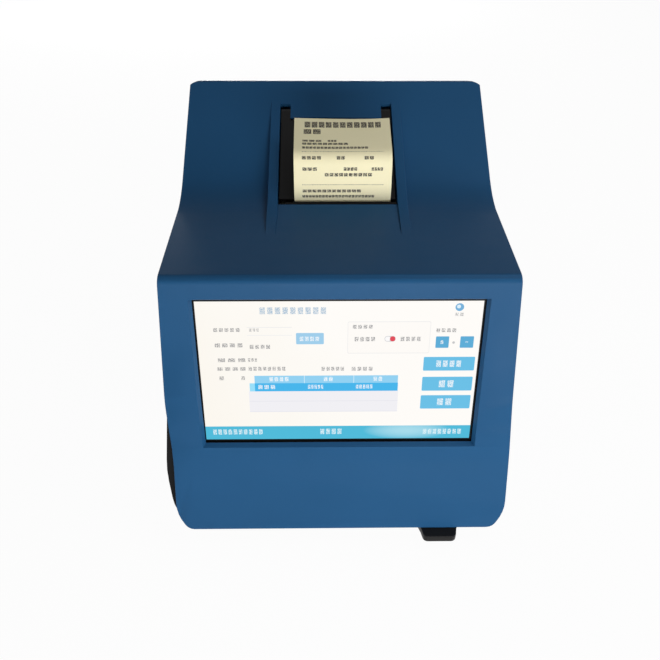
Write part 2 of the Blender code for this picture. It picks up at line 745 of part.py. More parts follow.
def make_base_shell():
    """The black tub."""
    width = base_width_corners()
    outline = rounded([(*place, radius) for place, radius in zip(width, BASE_WIDTH_RADII)])
    base = prism("base_shell", outline, 0.0, BODY_DEPTH, "Y", BLACK_PLASTIC)
    reach = BELLY_WIDTH / 2 + OVERRUN
    side_guide = prism("base_side_guide", base_side_corners(), -reach, reach, "X", cutter=True)
    keep_inside(base, side_guide, plan_guide("base_plan_guide", 0.0))

    inner = [tuple(place) for place in inset(width, WALL)]
    radii = [max(radius - WALL, 0.0) for radius in BASE_WIDTH_RADII]
    inner[4] = (inner[4][0], PARTING_Z + OVERRUN)
    inner[5] = (inner[5][0], PARTING_Z + OVERRUN)
    hollow_outline = rounded([(*place, radius) for place, radius in zip(inner, radii)])
    hollow = prism("base_hollow", hollow_outline, 0.0, BODY_DEPTH, "Y", cutter=True)
    side = [tuple(place) for place in inset(base_side_corners(), WALL)]
    lean = RIDGE_SETBACK / (RIDGE_Z - FACE_FOOT_Z)
    rise = PARTING_Z + OVERRUN * 2
    side[2] = (side[2][0], rise)
    side[3] = (side[3][0] + (rise - side[3][1]) * lean, rise)
    hollow_guide = prism("base_hollow_guide", side, -reach, reach, "X", cutter=True)
    keep_inside(hollow, hollow_guide, plan_guide("hollow_plan_guide", WALL))
    cut(base, hollow)

    for side_sign, name in ((-1, "left"), (1, "right")):
        middle = (side_sign * CASE_BOSS_X, CASE_BOSS_Y)
        post = rod(
            f"case_post_{name}", POST_RADIUS, middle, BASE_Z + WALL / 2, CASE_BOSS_LOW - GAP, "Z",
            cutter=True,
        )
        counterbore = rod(
            f"case_counterbore_{name}", SCREW_HEAD_RADIUS + GAP * 2, middle, BASE_Z - OVERRUN,
            POST_SHOULDER_Z, "Z", cutter=True, sides=SMALL_SIDES,
        )
        hole = rod(
            f"case_hole_{name}", CASE_SCREW_RADIUS + GAP, middle, POST_SHOULDER_Z - OVERRUN,
            CASE_BOSS_LOW + OVERRUN, "Z", cutter=True, sides=SMALL_SIDES,
        )
        join(base, post)
        cut(base, counterbore, hole)

    for index, place in enumerate(FEET, 1):
        cut(base, rod(
            f"foot_hole_{index}", FOOT_STEM_RADIUS + GAP, place, BASE_Z - OVERRUN,
            BASE_Z + WALL + OVERRUN, "Z", cutter=True, sides=SMALL_SIDES,
        ))

    room_half = BRACKET_WIDTH / 2 + GAP * 3
    cut(base, block(
        "display_room", (-room_half, 0.0, FRONT_WALL_TOP_Z),
        (room_half, RIDGE_SETBACK + WALL * 2, PARTING_Z + OVERRUN), cutter=True,
    ))
    slot_half = TRAY_WIDTH / 2 + TONGUE_WIDTH + GAP * 2
    cut(base, block(
        "tray_slot", (TRAY_X - slot_half, 0.0, TRAY_LOW_Z - GAP),
        (TRAY_X + slot_half, SKIRT_DEPTH + WALL + OVERRUN * 2, SLOT_TOP_Z), cutter=True,
    ))
    vents = []
    for index in range(VENT_COUNT):
        x = VENT_X + (index - (VENT_COUNT - 1) / 2) * VENT_PITCH
        vents.append((
            (x - VENT_WIDTH / 2, VENT_Y - VENT_LENGTH / 2, BASE_Z - OVERRUN),
            (x + VENT_WIDTH / 2, VENT_Y + VENT_LENGTH / 2, BASE_Z + WALL + OVERRUN),
        ))
    cut(base, blocks("base_vents", vents, cutter=True))
    cut(base, *rear_screw_holes("base_screw_hole", BASE_Z, PARTING_Z))
    cut(base, rear_recess("base_rear_recess"), rear_window("base_rear_window"))


def make_feet():
    """Four rubber feet whose stems press up through the floor."""
    lip = FOOT_RADIUS / 10
    stem_top = BASE_Z + WALL
    for index, (x, y) in enumerate(FEET, 1):
        profile = [
            (0.0, stem_top),
            (FOOT_STEM_RADIUS, stem_top),
            (FOOT_STEM_RADIUS, BASE_Z - GAP),
            (FOOT_RADIUS, BASE_Z - GAP),
            (FOOT_RADIUS, lip),
            (FOOT_RADIUS - lip, 0.0),
            (0.0, 0.0),
        ]
        turned(f"foot_{index}", profile, (x, y, 0.0), RUBBER, HOUSING)


def make_case_screws():
    """Two screws that hold the shells together from below."""
    head_top = POST_SHOULDER_Z - GAP
    for side, name in ((-1, "left"), (1, "right")):
        profile = [
            (0.0, CASE_SCREW_TIP_Z),
            (CASE_SCREW_RADIUS, CASE_SCREW_TIP_Z - CASE_SCREW_RADIUS),
            (CASE_SCREW_RADIUS, head_top),
            (SCREW_HEAD_RADIUS, head_top),
            (SCREW_HEAD_RADIUS, head_top - SCREW_HEAD_HEIGHT),
            (0.0, head_top - SCREW_HEAD_HEIGHT),
        ]
        place = (side * CASE_BOSS_X, CASE_BOSS_Y, 0.0)
        turned(f"case_screw_{name}", profile, place, STEEL, HOUSING, SMALL_SIDES)


# Display stack: gasket, touch panel, screen module, bracket, its screws and its board

GASKET_WIDTH = 0.0030
BRACKET_THICKNESS = 0.0012
BRACKET_OPENING_SHARE = 0.6
DISPLAY_BOARD_WIDTH = 0.1200
DISPLAY_BOARD_HEIGHT = 0.0700
BOARD_THICKNESS = 0.0016
DISPLAY_STANDOFF = 0.0060
STANDOFF_RADIUS = 0.0020
CHIP_SIZE = 0.0140
CHIP_HEIGHT = 0.0015


def face_block(name, width, height, depth, thickness, finish=None, cutter=False):
    """Box behind the face, centred on the screen."""
    return block(
        name, (-width / 2, depth, SCREEN_MID - height / 2),
        (width / 2, depth + thickness, SCREEN_MID + height / 2), finish, FACE, cutter,
    )


def make_display():
    """The display stack."""
    gasket = face_block(
        "display_gasket", TOUCH_WIDTH, TOUCH_HEIGHT, WALL + GAP, GASKET_THICKNESS, RUBBER
    )
    cut(gasket, face_block(
        "gasket_window", TOUCH_WIDTH - GASKET_WIDTH * 2, TOUCH_HEIGHT - GASKET_WIDTH * 2,
        WALL - OVERRUN, GASKET_THICKNESS + OVERRUN * 2, cutter=True,
    ))
    touch = face_block("touch_panel", TOUCH_WIDTH, TOUCH_HEIGHT, TOUCH_DEPTH, TOUCH_THICKNESS, SCREEN_GLASS)
    soften(touch, GAP, 1)
    lcd = face_block("screen_module", TOUCH_WIDTH, TOUCH_HEIGHT, LCD_DEPTH, LCD_THICKNESS, STEEL)
    soften(lcd, GAP * 2, 2)
    bracket = face_block(
        "display_bracket", BRACKET_WIDTH, BRACKET_HEIGHT, BRACKET_DEPTH, BRACKET_THICKNESS, STEEL
    )
    cut(bracket, face_block(
        "bracket_opening", BRACKET_WIDTH * BRACKET_OPENING_SHARE, BRACKET_HEIGHT * BRACKET_OPENING_SHARE / 2,
        BRACKET_DEPTH - OVERRUN, BRACKET_THICKNESS + OVERRUN * 2, cutter=True,
    ))
    back = BRACKET_DEPTH + BRACKET_THICKNESS
    for index, (x, height) in enumerate(DISPLAY_BOSSES, 1):
        cut(bracket, rod(
            f"bracket_hole_{index}", DISPLAY_SCREW_RADIUS + GAP, (x, height),
            BRACKET_DEPTH - OVERRUN, back + OVERRUN, "Y", parent=FACE, cutter=True, sides=SMALL_SIDES,
        ))
        screw = rod(
            f"display_screw_{index}", DISPLAY_SCREW_RADIUS, (x, height),
            BRACKET_DEPTH - DISPLAY_SCREW_BITE, back + SCREW_HEAD_HEIGHT, "Y", STEEL, FACE, sides=SMALL_SIDES,
        )
        join(screw, rod(
            f"display_screw_head_{index}", SCREW_HEAD_RADIUS, (x, height),
            back + GAP, back + GAP + SCREW_HEAD_HEIGHT, "Y", parent=FACE, cutter=True,
            sides=SMALL_SIDES,
        ))
    depth = back + DISPLAY_STANDOFF
    board = face_block(
        "display_board", DISPLAY_BOARD_WIDTH, DISPLAY_BOARD_HEIGHT, depth, BOARD_THICKNESS, CIRCUIT_GREEN
    )
    x = DISPLAY_BOARD_WIDTH / 2 - STANDOFF_RADIUS * 2
    spread = DISPLAY_BOARD_HEIGHT / 2 - STANDOFF_RADIUS * 2
    for side in (-1, 1):
        for row in (-1, 1):
            join(board, rod(
                f"display_standoff_{side}_{row}", STANDOFF_RADIUS, (side * x, SCREEN_MID + row * spread),
                back + GAP, depth + GAP, "Y", parent=FACE, cutter=True, sides=SMALL_SIDES,
            ))
    join(board, block(
        "display_chip", (-CHIP_SIZE / 2, depth + BOARD_THICKNESS - GAP, SCREEN_MID - CHIP_SIZE / 2),
        (CHIP_SIZE / 2, depth + BOARD_THICKNESS + CHIP_HEIGHT, SCREEN_MID + CHIP_SIZE / 2),
        parent=FACE, cutter=True,
    ))


# Printer: frame with paper bucket, lid on its hinge, platen, gears, motor, head, roll and strip
# Places here are (y, z) in the printer frame, from the paper slot up the slope and out of it

PRINTER_HALF = PRINTER_WIDTH / 2
LID_THICKNESS = 0.0025
LID_FRONT = 0.0042
LID_REAR = 0.0670
LID_EDGE = 0.0003
HINGE_PLACE = (0.0745, -0.0055)
HINGE_PIN_RADIUS = 0.0015
ARM_RADIUS = 0.0055
FRAME_TOP = -LID_THICKNESS - GAP
BUCKET_RADIUS = 0.0220
BUCKET_PLACE = (0.0385, -0.0214)
FRAME_WALL = 0.0022
GEAR_COVER_WIDTH = 0.0045
GEAR_COVER_WALL = 0.0013
GEAR_WIDTH = 0.0027
LEFT_WALL = 0.0024
RIGHT_WALL = 0.0015
FRAME_LEFT = GEAR_COVER_WIDTH - PRINTER_HALF
CAVITY_LEFT = FRAME_LEFT + LEFT_WALL
CAVITY_RIGHT = PRINTER_HALF - RIGHT_WALL
FRAME_FRONT = -0.0060
FRAME_LIP_LOW = -0.0086
FRONT_WALL_BACK = 0.0016
NOSE_LOW = -0.0215
PLATEN_PLACE = (0.0078, -0.0120)
PLATEN_RADIUS = 0.0043
PLATEN_SHAFT_RADIUS = 0.0015
PLATEN_BAY_REAR = 0.0134
EAR_WIDTH = 0.0015
PAPER_THICKNESS = 0.0002
GEAR_MODULE = 0.0005
GEAR_LEFT = GEAR_COVER_WALL - PRINTER_HALF
GEAR_RIGHT = GEAR_LEFT + GEAR_WIDTH
GEAR_TEETH = 24
PINION_TEETH = 12
GEAR_MESH_GAP = 0.00015
MOTOR_RADIUS = 0.0055
MOTOR_LENGTH = 0.0140
MOTOR_ANGLE = math.radians(-80)
HINGE_BLOCK_HALF = PRINTER_HALF - LID_EDGE - ARM_WIDTH - GAP


def gear_outline(teeth, module, place, phase=0.0):
    """Outline of a spur gear with straight flanked teeth."""
    pitch_radius = teeth * module / 2
    tip = pitch_radius + module * TIP_SHARE
    root = pitch_radius - module * ROOT_SHARE
    pitch_angle = math.tau / teeth
    outline = []
    for tooth in range(teeth):
        middle = phase + tooth * pitch_angle
        for radius, share in tooth_corners(root, tip):
            angle = middle + share * pitch_angle
            outline.append((place[0] + radius * math.cos(angle), place[1] + radius * math.sin(angle)))
    return outline


TIP_SHARE = 0.85
ROOT_SHARE = 1.1


def tooth_corners(root, tip):
    """Corners of one tooth, as shares of the tooth pitch from its middle."""
    return ((root, -0.33), (tip, -0.12), (tip, 0.12), (root, 0.33))


IDLER_PLACE = (PLATEN_PLACE[0], PLATEN_PLACE[1] - GEAR_TEETH * GEAR_MODULE - GEAR_MESH_GAP)
PINION_REACH = (GEAR_TEETH + PINION_TEETH) * GEAR_MODULE / 2 + GEAR_MESH_GAP
PINION_PLACE = (
    IDLER_PLACE[0] + PINION_REACH * math.cos(MOTOR_ANGLE),
    IDLER_PLACE[1] + PINION_REACH * math.sin(MOTOR_ANGLE),
)

LID_HINGE = frame("lid_hinge", (0.0, *HINGE_PLACE), 0.0, PRINTER)
PLATEN_AXIS = frame("platen_axis", (0.0, *PLATEN_PLACE), 0.0, PRINTER)
IDLER_AXIS = frame("idler_axis", (0.0, *IDLER_PLACE), 0.0, PRINTER)
PINION_AXIS = frame("pinion_axis", (0.0, *PINION_PLACE), 0.0, PRINTER)


def make_printer_frame():
    """Black frame: paper bucket, side walls, head seat and hinge block."""
    outer = BUCKET_RADIUS + FRAME_WALL
    rear = BUCKET_PLACE[0] + outer
    low = BUCKET_PLACE[1] - outer
    outline = rounded([
        (GAP, 0.0, 0.0),
        (FRONT_WALL_BACK, 0.0, 0.0),
        (FRONT_WALL_BACK, FRAME_TOP, 0.0),
        (rear, FRAME_TOP, 0.0),
        (rear, low, outer - GAP),
        (BUCKET_PLACE[0] - outer, low, outer - GAP),
        (FRAME_FRONT, NOSE_LOW, 0.0),
        (FRAME_FRONT, FRAME_LIP_LOW, 0.0),
        (GAP, FRAME_LIP_LOW, 0.0),
    ])
    body = prism("printer_frame", outline, FRAME_LEFT, PRINTER_HALF, "X", BLACK_PLASTIC, PRINTER)
    hinge_top = -WALL / 2 - GAP
    hinge_y, hinge_z = HINGE_PLACE
    low_z = hinge_z - HINGE_PIN_RADIUS * 2
    hinge_block = prism(
        "hinge_block",
        [
            (rear - FRAME_WALL, FRAME_TOP), (LID_REAR + LID_THICKNESS / 2, FRAME_TOP),
            (LID_REAR + LID_THICKNESS / 2, hinge_top), (hinge_y + ARM_RADIUS - GAP, hinge_top),
            (hinge_y + ARM_RADIUS - GAP, low_z), (rear - FRAME_WALL, low_z - FRAME_WALL * 2),
        ],
        -HINGE_BLOCK_HALF, HINGE_BLOCK_HALF, "X", parent=PRINTER, cutter=True,
    )
    join(body, hinge_block)
    cut(body, rod(
        "hinge_bore", HINGE_PIN_RADIUS + GAP, HINGE_PLACE, -HINGE_BLOCK_HALF - OVERRUN,
        HINGE_BLOCK_HALF + OVERRUN, "X", parent=PRINTER, cutter=True, sides=SMALL_SIDES,
    ))
    bucket = prism(
        "bucket_hollow",
        rounded([
            (BUCKET_PLACE[0] - BUCKET_RADIUS, OVERRUN, 0.0),
            (BUCKET_PLACE[0] - BUCKET_RADIUS, BUCKET_PLACE[1] - BUCKET_RADIUS, BUCKET_RADIUS - GAP),
            (BUCKET_PLACE[0] + BUCKET_RADIUS, BUCKET_PLACE[1] - BUCKET_RADIUS, BUCKET_RADIUS - GAP),
            (BUCKET_PLACE[0] + BUCKET_RADIUS, OVERRUN, 0.0),
        ]),
        CAVITY_LEFT, CAVITY_RIGHT, "X", parent=PRINTER, cutter=True,
    )
    bay_low = PLATEN_PLACE[1] - PLATEN_RADIUS - GAP * 4
    bay = block(
        "platen_bay", (CAVITY_LEFT, FRONT_WALL_BACK, bay_low),
        (CAVITY_RIGHT, PLATEN_BAY_REAR, OVERRUN), parent=PRINTER, cutter=True,
    )
    seat = block(
        "head_seat", (HEAD_LEFT - GAP, HEAD_SEAT_Y, HEAD_LOW - GAP),
        (HEAD_RIGHT + GAP, FRONT_WALL_BACK + OVERRUN, FRAME_LIP_LOW), parent=PRINTER, cutter=True,
    )
    shaft_half = PLATEN_SHAFT_RADIUS + GAP * 2
    shaft_slot = block(
        "shaft_slot", (FRAME_LEFT - OVERRUN, PLATEN_PLACE[0] - shaft_half, PLATEN_PLACE[1] - shaft_half),
        (CAVITY_LEFT + OVERRUN, PLATEN_PLACE[0] + shaft_half, OVERRUN), parent=PRINTER, cutter=True,
    )
    bay_rear = BUCKET_PLACE[0] - BUCKET_RADIUS - FRAME_WALL / 2
    motor_bay = prism(
        "motor_bay",
        [
            (FRAME_FRONT + FRAME_WALL, bay_low - FRAME_WALL), (bay_rear, bay_low - FRAME_WALL),
            (bay_rear, low - OVERRUN), (FRAME_FRONT + FRAME_WALL, low - OVERRUN),
        ],
        CAVITY_LEFT, CAVITY_RIGHT, "X", parent=PRINTER, cutter=True,
    )
    cut(body, bucket, bay, seat, shaft_slot, motor_bay)
    cut(body, rod(
        "motor_shaft_hole", PLATEN_SHAFT_RADIUS, PINION_PLACE, FRAME_LEFT - OVERRUN,
        CAVITY_LEFT + OVERRUN, "X", parent=PRINTER, cutter=True, sides=SMALL_SIDES,
    ))
    post = rod(
        "idler_post", PLATEN_SHAFT_RADIUS, IDLER_PLACE, GEAR_LEFT, FRAME_LEFT + GAP, "X",
        parent=PRINTER, cutter=True, sides=SMALL_SIDES,
    )
    join(body, post)


def make_gear_cover():
    """Thin cover over the gears, flush with the left side of the printer."""
    low = PINION_PLACE[1] - PINION_TEETH * GEAR_MODULE / 2 - FRAME_WALL
    outline = rounded([
        (GAP, FRAME_TOP, 0.0),
        (GAP, low, FRAME_WALL),
        (PINION_PLACE[0] + PINION_REACH, low, FRAME_WALL),
        (PINION_PLACE[0] + PINION_REACH, FRAME_LIP_LOW, FRAME_WALL),
        (LID_REAR, FRAME_LIP_LOW, 0.0),
        (LID_REAR, FRAME_TOP, 0.0),
    ])
    cover = prism("gear_cover", outline, -PRINTER_HALF, FRAME_LEFT - GAP, "X", BLACK_PLASTIC, PRINTER)
    inside = [
        (GAP + FRAME_WALL / 3, OVERRUN), (GAP + FRAME_WALL / 3, low - OVERRUN),
        (PINION_PLACE[0] + PINION_REACH - FRAME_WALL / 2, low - OVERRUN),
        (PINION_PLACE[0] + PINION_REACH - FRAME_WALL / 2, OVERRUN),
    ]
    cut(cover, prism(
        "gear_space", inside, GEAR_LEFT - GAP, FRAME_LEFT + OVERRUN, "X", parent=PRINTER, cutter=True,
    ))


def make_lid():
    """Lid with two hinge arms behind and two ears that carry the platen."""
    half = PRINTER_HALF - LID_EDGE
    lid = block("printer_lid", (-half, LID_FRONT, -LID_THICKNESS), (half, LID_REAR, 0.0), BLACK_PLASTIC, PRINTER)
    soften(lid, GAP * 2, 2)
    hinge_y, hinge_z = HINGE_PLACE
    for side, name in ((-1, "left"), (1, "right")):
        outer = side * half
        inner = side * (half - ARM_WIDTH)
        arm = prism(
            f"arm_{name}",
            rounded([
                (LID_REAR - LID_THICKNESS, 0.0, 0.0),
                (LID_REAR - LID_THICKNESS, -LID_THICKNESS, 0.0),
                (hinge_y - ARM_RADIUS, -LID_THICKNESS, 0.0),
                (hinge_y - ARM_RADIUS, hinge_z - ARM_RADIUS, ARM_RADIUS - GAP),
                (hinge_y + ARM_RADIUS, hinge_z - ARM_RADIUS, ARM_RADIUS - GAP),
                (hinge_y + ARM_RADIUS, 0.0, ARM_RADIUS - GAP),
            ]),
            min(inner, outer), max(inner, outer), "X", parent=PRINTER, cutter=True,
        )
        join(lid, arm)
        cut(lid, rod(
            f"arm_bore_{name}", HINGE_PIN_RADIUS + GAP, HINGE_PLACE,
            -half - OVERRUN if side < 0 else half - ARM_WIDTH - OVERRUN,
            -half + ARM_WIDTH + OVERRUN if side < 0 else half + OVERRUN, "X",
            parent=PRINTER, cutter=True, sides=SMALL_SIDES,
        ))
    platen_y, platen_z = PLATEN_PLACE
    ear_half = PLATEN_SHAFT_RADIUS * 2
    for name, low in (("left", CAVITY_LEFT + GAP), ("right", CAVITY_RIGHT - GAP - EAR_WIDTH)):
        ear = prism(
            f"ear_{name}",
            rounded([
                (platen_y - ear_half, -LID_THICKNESS / 2, 0.0),
                (platen_y - ear_half, platen_z - ear_half, ear_half - GAP),
                (platen_y + ear_half, platen_z - ear_half, ear_half - GAP),
                (platen_y + ear_half, -LID_THICKNESS / 2, 0.0),
            ]),
            low, low + EAR_WIDTH, "X", parent=PRINTER, cutter=True,
        )
        join(lid, ear)
        cut(lid, rod(
            f"ear_bore_{name}", PLATEN_SHAFT_RADIUS + GAP, PLATEN_PLACE, low - GAP, low + EAR_WIDTH + GAP,
            "X", parent=PRINTER, cutter=True, sides=SMALL_SIDES,
        ))
    carry(lid, LID_HINGE)
    pin = rod(
        "hinge_pin", HINGE_PIN_RADIUS, HINGE_PLACE, -half, half, "X", STEEL, PRINTER, sides=SMALL_SIDES
    )
    carry(pin, LID_HINGE)


def make_platen():
    """Rubber roller on a steel shaft with its gear."""
    left = CAVITY_LEFT + GAP * 2 + EAR_WIDTH
    right = CAVITY_RIGHT - GAP * 2 - EAR_WIDTH
    shaft_right = CAVITY_RIGHT - GAP
    roller = rod("platen_roller", PLATEN_RADIUS, PLATEN_PLACE, left, right, "X", RUBBER, PRINTER)
    cut(roller, rod(
        "roller_bore", PLATEN_SHAFT_RADIUS + GAP, PLATEN_PLACE, left - OVERRUN, right + OVERRUN, "X",
        parent=PRINTER, cutter=True, sides=SMALL_SIDES,
    ))
    shaft = rod(
        "platen_shaft", PLATEN_SHAFT_RADIUS, PLATEN_PLACE, GEAR_LEFT, shaft_right, "X", STEEL, PRINTER,
        sides=SMALL_SIDES,
    )
    tooth_turn = math.tau / GEAR_TEETH / 2
    gear = prism(
        "platen_gear",
        gear_outline(GEAR_TEETH, GEAR_MODULE, PLATEN_PLACE, -math.pi / 2 + tooth_turn),
        GEAR_LEFT, GEAR_RIGHT, "X", GREY_PLASTIC, PRINTER,
    )
    cut(gear, rod(
        "platen_gear_bore", PLATEN_SHAFT_RADIUS + GAP, PLATEN_PLACE, GEAR_LEFT - OVERRUN,
        GEAR_RIGHT + OVERRUN, "X", parent=PRINTER, cutter=True, sides=SMALL_SIDES,
    ))
    for item in (roller, shaft, gear):
        carry(item, PLATEN_AXIS)


def make_feed_drive():
    """Idler gear on its post, and the motor with its pinion."""
    idler = prism(
        "idler_gear", gear_outline(GEAR_TEETH, GEAR_MODULE, IDLER_PLACE, math.pi / 2),
        GEAR_LEFT, GEAR_RIGHT, "X", GREY_PLASTIC, PRINTER,
    )
    cut(idler, rod(
        "idler_bore", PLATEN_SHAFT_RADIUS + GAP, IDLER_PLACE, GEAR_LEFT - OVERRUN, GEAR_RIGHT + OVERRUN,
        "X", parent=PRINTER, cutter=True, sides=SMALL_SIDES,
    ))
    carry(idler, IDLER_AXIS)
    # The idler has a tooth at every multiple of its pitch from straight up, so the pinion's gap faces
    # the idler's tooth that lies nearest to the line between the two
    tooth = math.tau / GEAR_TEETH
    offset = (MOTOR_ANGLE - math.pi / 2) / tooth
    lag = (offset - round(offset)) * tooth
    phase = MOTOR_ANGLE + math.pi + math.tau / PINION_TEETH / 2 + lag * GEAR_TEETH / PINION_TEETH
    pinion = prism(
        "motor_pinion", gear_outline(PINION_TEETH, GEAR_MODULE, PINION_PLACE, phase),
        GEAR_LEFT, GEAR_RIGHT, "X", BRASS, PRINTER,
    )
    shaft = rod(
        "motor_pinion_shaft", PLATEN_SHAFT_RADIUS / 2, PINION_PLACE, GEAR_RIGHT - GAP,
        CAVITY_LEFT + MOTOR_LENGTH / 2, "X", parent=PRINTER, cutter=True, sides=SMALL_SIDES,
    )
    join(pinion, shaft)
    carry(pinion, PINION_AXIS)
    motor = rod(
        "feed_motor", MOTOR_RADIUS, PINION_PLACE, CAVITY_LEFT + GAP, CAVITY_LEFT + MOTOR_LENGTH, "X",
        STEEL, PRINTER,
    )
    cut(motor, rod(
        "motor_bore", PLATEN_SHAFT_RADIUS / 2 + GAP, PINION_PLACE, CAVITY_LEFT - OVERRUN,
        CAVITY_LEFT + MOTOR_LENGTH / 2 + GAP, "X", parent=PRINTER, cutter=True, sides=SMALL_SIDES,
    ))


HEAD_OVERHANG = 0.00025
HEAD_LEFT = PAPER_LEFT - HEAD_OVERHANG
HEAD_RIGHT = PAPER_RIGHT + HEAD_OVERHANG
HEAD_SEAT_Y = -0.0038
HEAD_LOW = -0.0180
HEAD_HIGH = -0.0090
HEAD_BACK_Y = -0.0012
SPRING_RADIUS = 0.0016
SPRING_WIRE = 0.0002
SPRING_TURNS = 3
SPRING_POINTS = 10
SPRING_SPREAD_SHARE = 0.7
TEAR_BAR_THICKNESS = 0.0005
TEAR_BAR_HEIGHT = 0.0030
TEAR_TOOTH = 0.0012
TEAR_TOOTH_HEIGHT = 0.0006


def make_head():
    """Thermal head, pressed to the platen by two springs, and the tear bar over it."""
    face = PLATEN_PLACE[0] - PLATEN_RADIUS - PAPER_THICKNESS - GAP * 2
    head = block(
        "thermal_head", (HEAD_LEFT, HEAD_BACK_Y, HEAD_LOW), (HEAD_RIGHT, face, HEAD_HIGH), STEEL, PRINTER
    )
    soften(head, GAP, 1)
    middle = (HEAD_LEFT + HEAD_RIGHT) / 2
    height = (HEAD_LOW + HEAD_HIGH) / 2
    start = HEAD_SEAT_Y + GAP + SPRING_WIRE
    length = HEAD_BACK_Y - GAP - SPRING_WIRE - start
    for side, name in ((-1, "left"), (1, "right")):
        x = middle + side * (HEAD_RIGHT - HEAD_LEFT) / 2 * SPRING_SPREAD_SHARE
        curve = bpy.data.curves.new(f"head_spring_{name}", "CURVE")
        curve.dimensions = "3D"
        curve.bevel_depth = SPRING_WIRE
        curve.bevel_resolution = 1
        curve.use_fill_caps = True
        spline = curve.splines.new("POLY")
        count = SPRING_TURNS * SPRING_POINTS
        spline.points.add(count)
        for index, point in enumerate(spline.points):
            angle = math.tau * index / SPRING_POINTS
            point.co = (
                x + SPRING_RADIUS * math.cos(angle), start + length * index / count,
                height + SPRING_RADIUS * math.sin(angle), 1.0,
            )
        spring = bpy.data.objects.new(f"head_spring_{name}", curve)
        spring.parent = PRINTER
        curve.materials.append(STEEL)
        PARTS.objects.link(spring)
    top = TEAR_TOOTH_HEIGHT
    teeth = round((HEAD_RIGHT - HEAD_LEFT) / TEAR_TOOTH)
    outline = [(HEAD_RIGHT, FRAME_TOP), (HEAD_LEFT, FRAME_TOP)]
    for index in range(teeth):
        left = HEAD_LEFT + (HEAD_RIGHT - HEAD_LEFT) * index / teeth
        outline.append((left, 0.0))
        outline.append((left + TEAR_TOOTH / 2, top))
    outline.append((HEAD_RIGHT, 0.0))
    back = FRONT_WALL_BACK + GAP
    prism(
        "tear_bar", outline, back, back + TEAR_BAR_THICKNESS, "Y", STEEL, PRINTER
    )


ROLL_RADIUS = 0.0180
CORE_RADIUS = 0.0080
CORE_BORE = 0.0060
ROLL_PLACE = (
    BUCKET_PLACE[0] - (BUCKET_RADIUS - ROLL_RADIUS - GAP * 2) * math.sin(PRINTER_SLOPE),
    BUCKET_PLACE[1] - (BUCKET_RADIUS - ROLL_RADIUS - GAP * 2) * math.cos(PRINTER_SLOPE),
)
ROLL_AXIS = frame("roll_axis", (0.0, *ROLL_PLACE), 0.0, PRINTER)


def make_roll():
    """Paper roll on its cardboard core, lying in the lowest part of the bucket."""
    roll = rod("paper_roll", ROLL_RADIUS, ROLL_PLACE, PAPER_LEFT, PAPER_RIGHT, "X", PAPER, PRINTER)
    cut(roll, rod(
        "roll_hole", CORE_RADIUS + GAP, ROLL_PLACE, PAPER_LEFT - OVERRUN, PAPER_RIGHT + OVERRUN, "X",
        parent=PRINTER, cutter=True, sides=SMALL_SIDES,
    ))
    core = rod("roll_core", CORE_RADIUS, ROLL_PLACE, PAPER_LEFT, PAPER_RIGHT, "X", CARDBOARD, PRINTER, sides=SMALL_SIDES)
    cut(core, rod(
        "core_hole", CORE_BORE, ROLL_PLACE, PAPER_LEFT - OVERRUN, PAPER_RIGHT + OVERRUN, "X",
        parent=PRINTER, cutter=True, sides=SMALL_SIDES,
    ))
    for item in (roll, core):
        carry(item, ROLL_AXIS)


# Free end of the strip, from the slot: how far back and how far up in the housing's own directions
STRIP_RISE = 0.0200
STRIP_CREST_BACK = 0.0110
STRIP_CREST_RISE = 0.0305
STRIP_END_BACK = 0.0365
STRIP_END_RISE = 0.0386
STRIP_LEVEL_SHARE = 0.25
STRIP_STEPS = 9


def in_printer_frame(back, rise):
    """Place given back and up from the slot, in the printer frame."""
    turn = Matrix.Rotation(-PRINTER_SLOPE, 2)
    return turn @ Vector((back, rise))


def strip_path():
    """Middle line of the paper strip from the platen to its free end."""
    x = PLATEN_PLACE[0] - PLATEN_RADIUS - GAP - PAPER_THICKNESS / 2
    nip = Vector((x, PLATEN_PLACE[1]))
    mouth = Vector((x, TEAR_TOOTH_HEIGHT))
    rise = in_printer_frame(mouth.x * math.cos(PRINTER_SLOPE), STRIP_RISE)
    crest = in_printer_frame(STRIP_CREST_BACK, STRIP_CREST_RISE)
    end = in_printer_frame(STRIP_END_BACK, STRIP_END_RISE)
    upright = in_printer_frame(0.0, STRIP_RISE / 2)
    level = (end - crest) * STRIP_LEVEL_SHARE
    first = interpolate_bezier(mouth, mouth + (mouth - nip) / 2, rise - upright / 2, rise, STRIP_STEPS)
    second = interpolate_bezier(rise, rise + upright / 2, crest - level, crest, STRIP_STEPS)
    third = interpolate_bezier(crest, crest + level, end - level, end, STRIP_STEPS)
    return [nip] + [Vector(p) for p in (*first, *second[1:], *third[1:])]


def make_strip():
    """Printed paper strip that stands up from the slot and curls back."""
    path = strip_path()
    near = []
    far = []
    for index, place in enumerate(path):
        before = path[max(index - 1, 0)]
        after = path[min(index + 1, len(path) - 1)]
        direction = (after - before).normalized()
        side = Vector((-direction.y, direction.x)) * PAPER_THICKNESS / 2
        near.append(tuple(place + side))
        far.append(tuple(place - side))
    prism("paper_strip", near + far[::-1], PAPER_LEFT, PAPER_RIGHT, "X", PAPER, PRINTER)


# Card reader: tray with rack on two rails, motor with pinion on a bracket, optics on a bridge

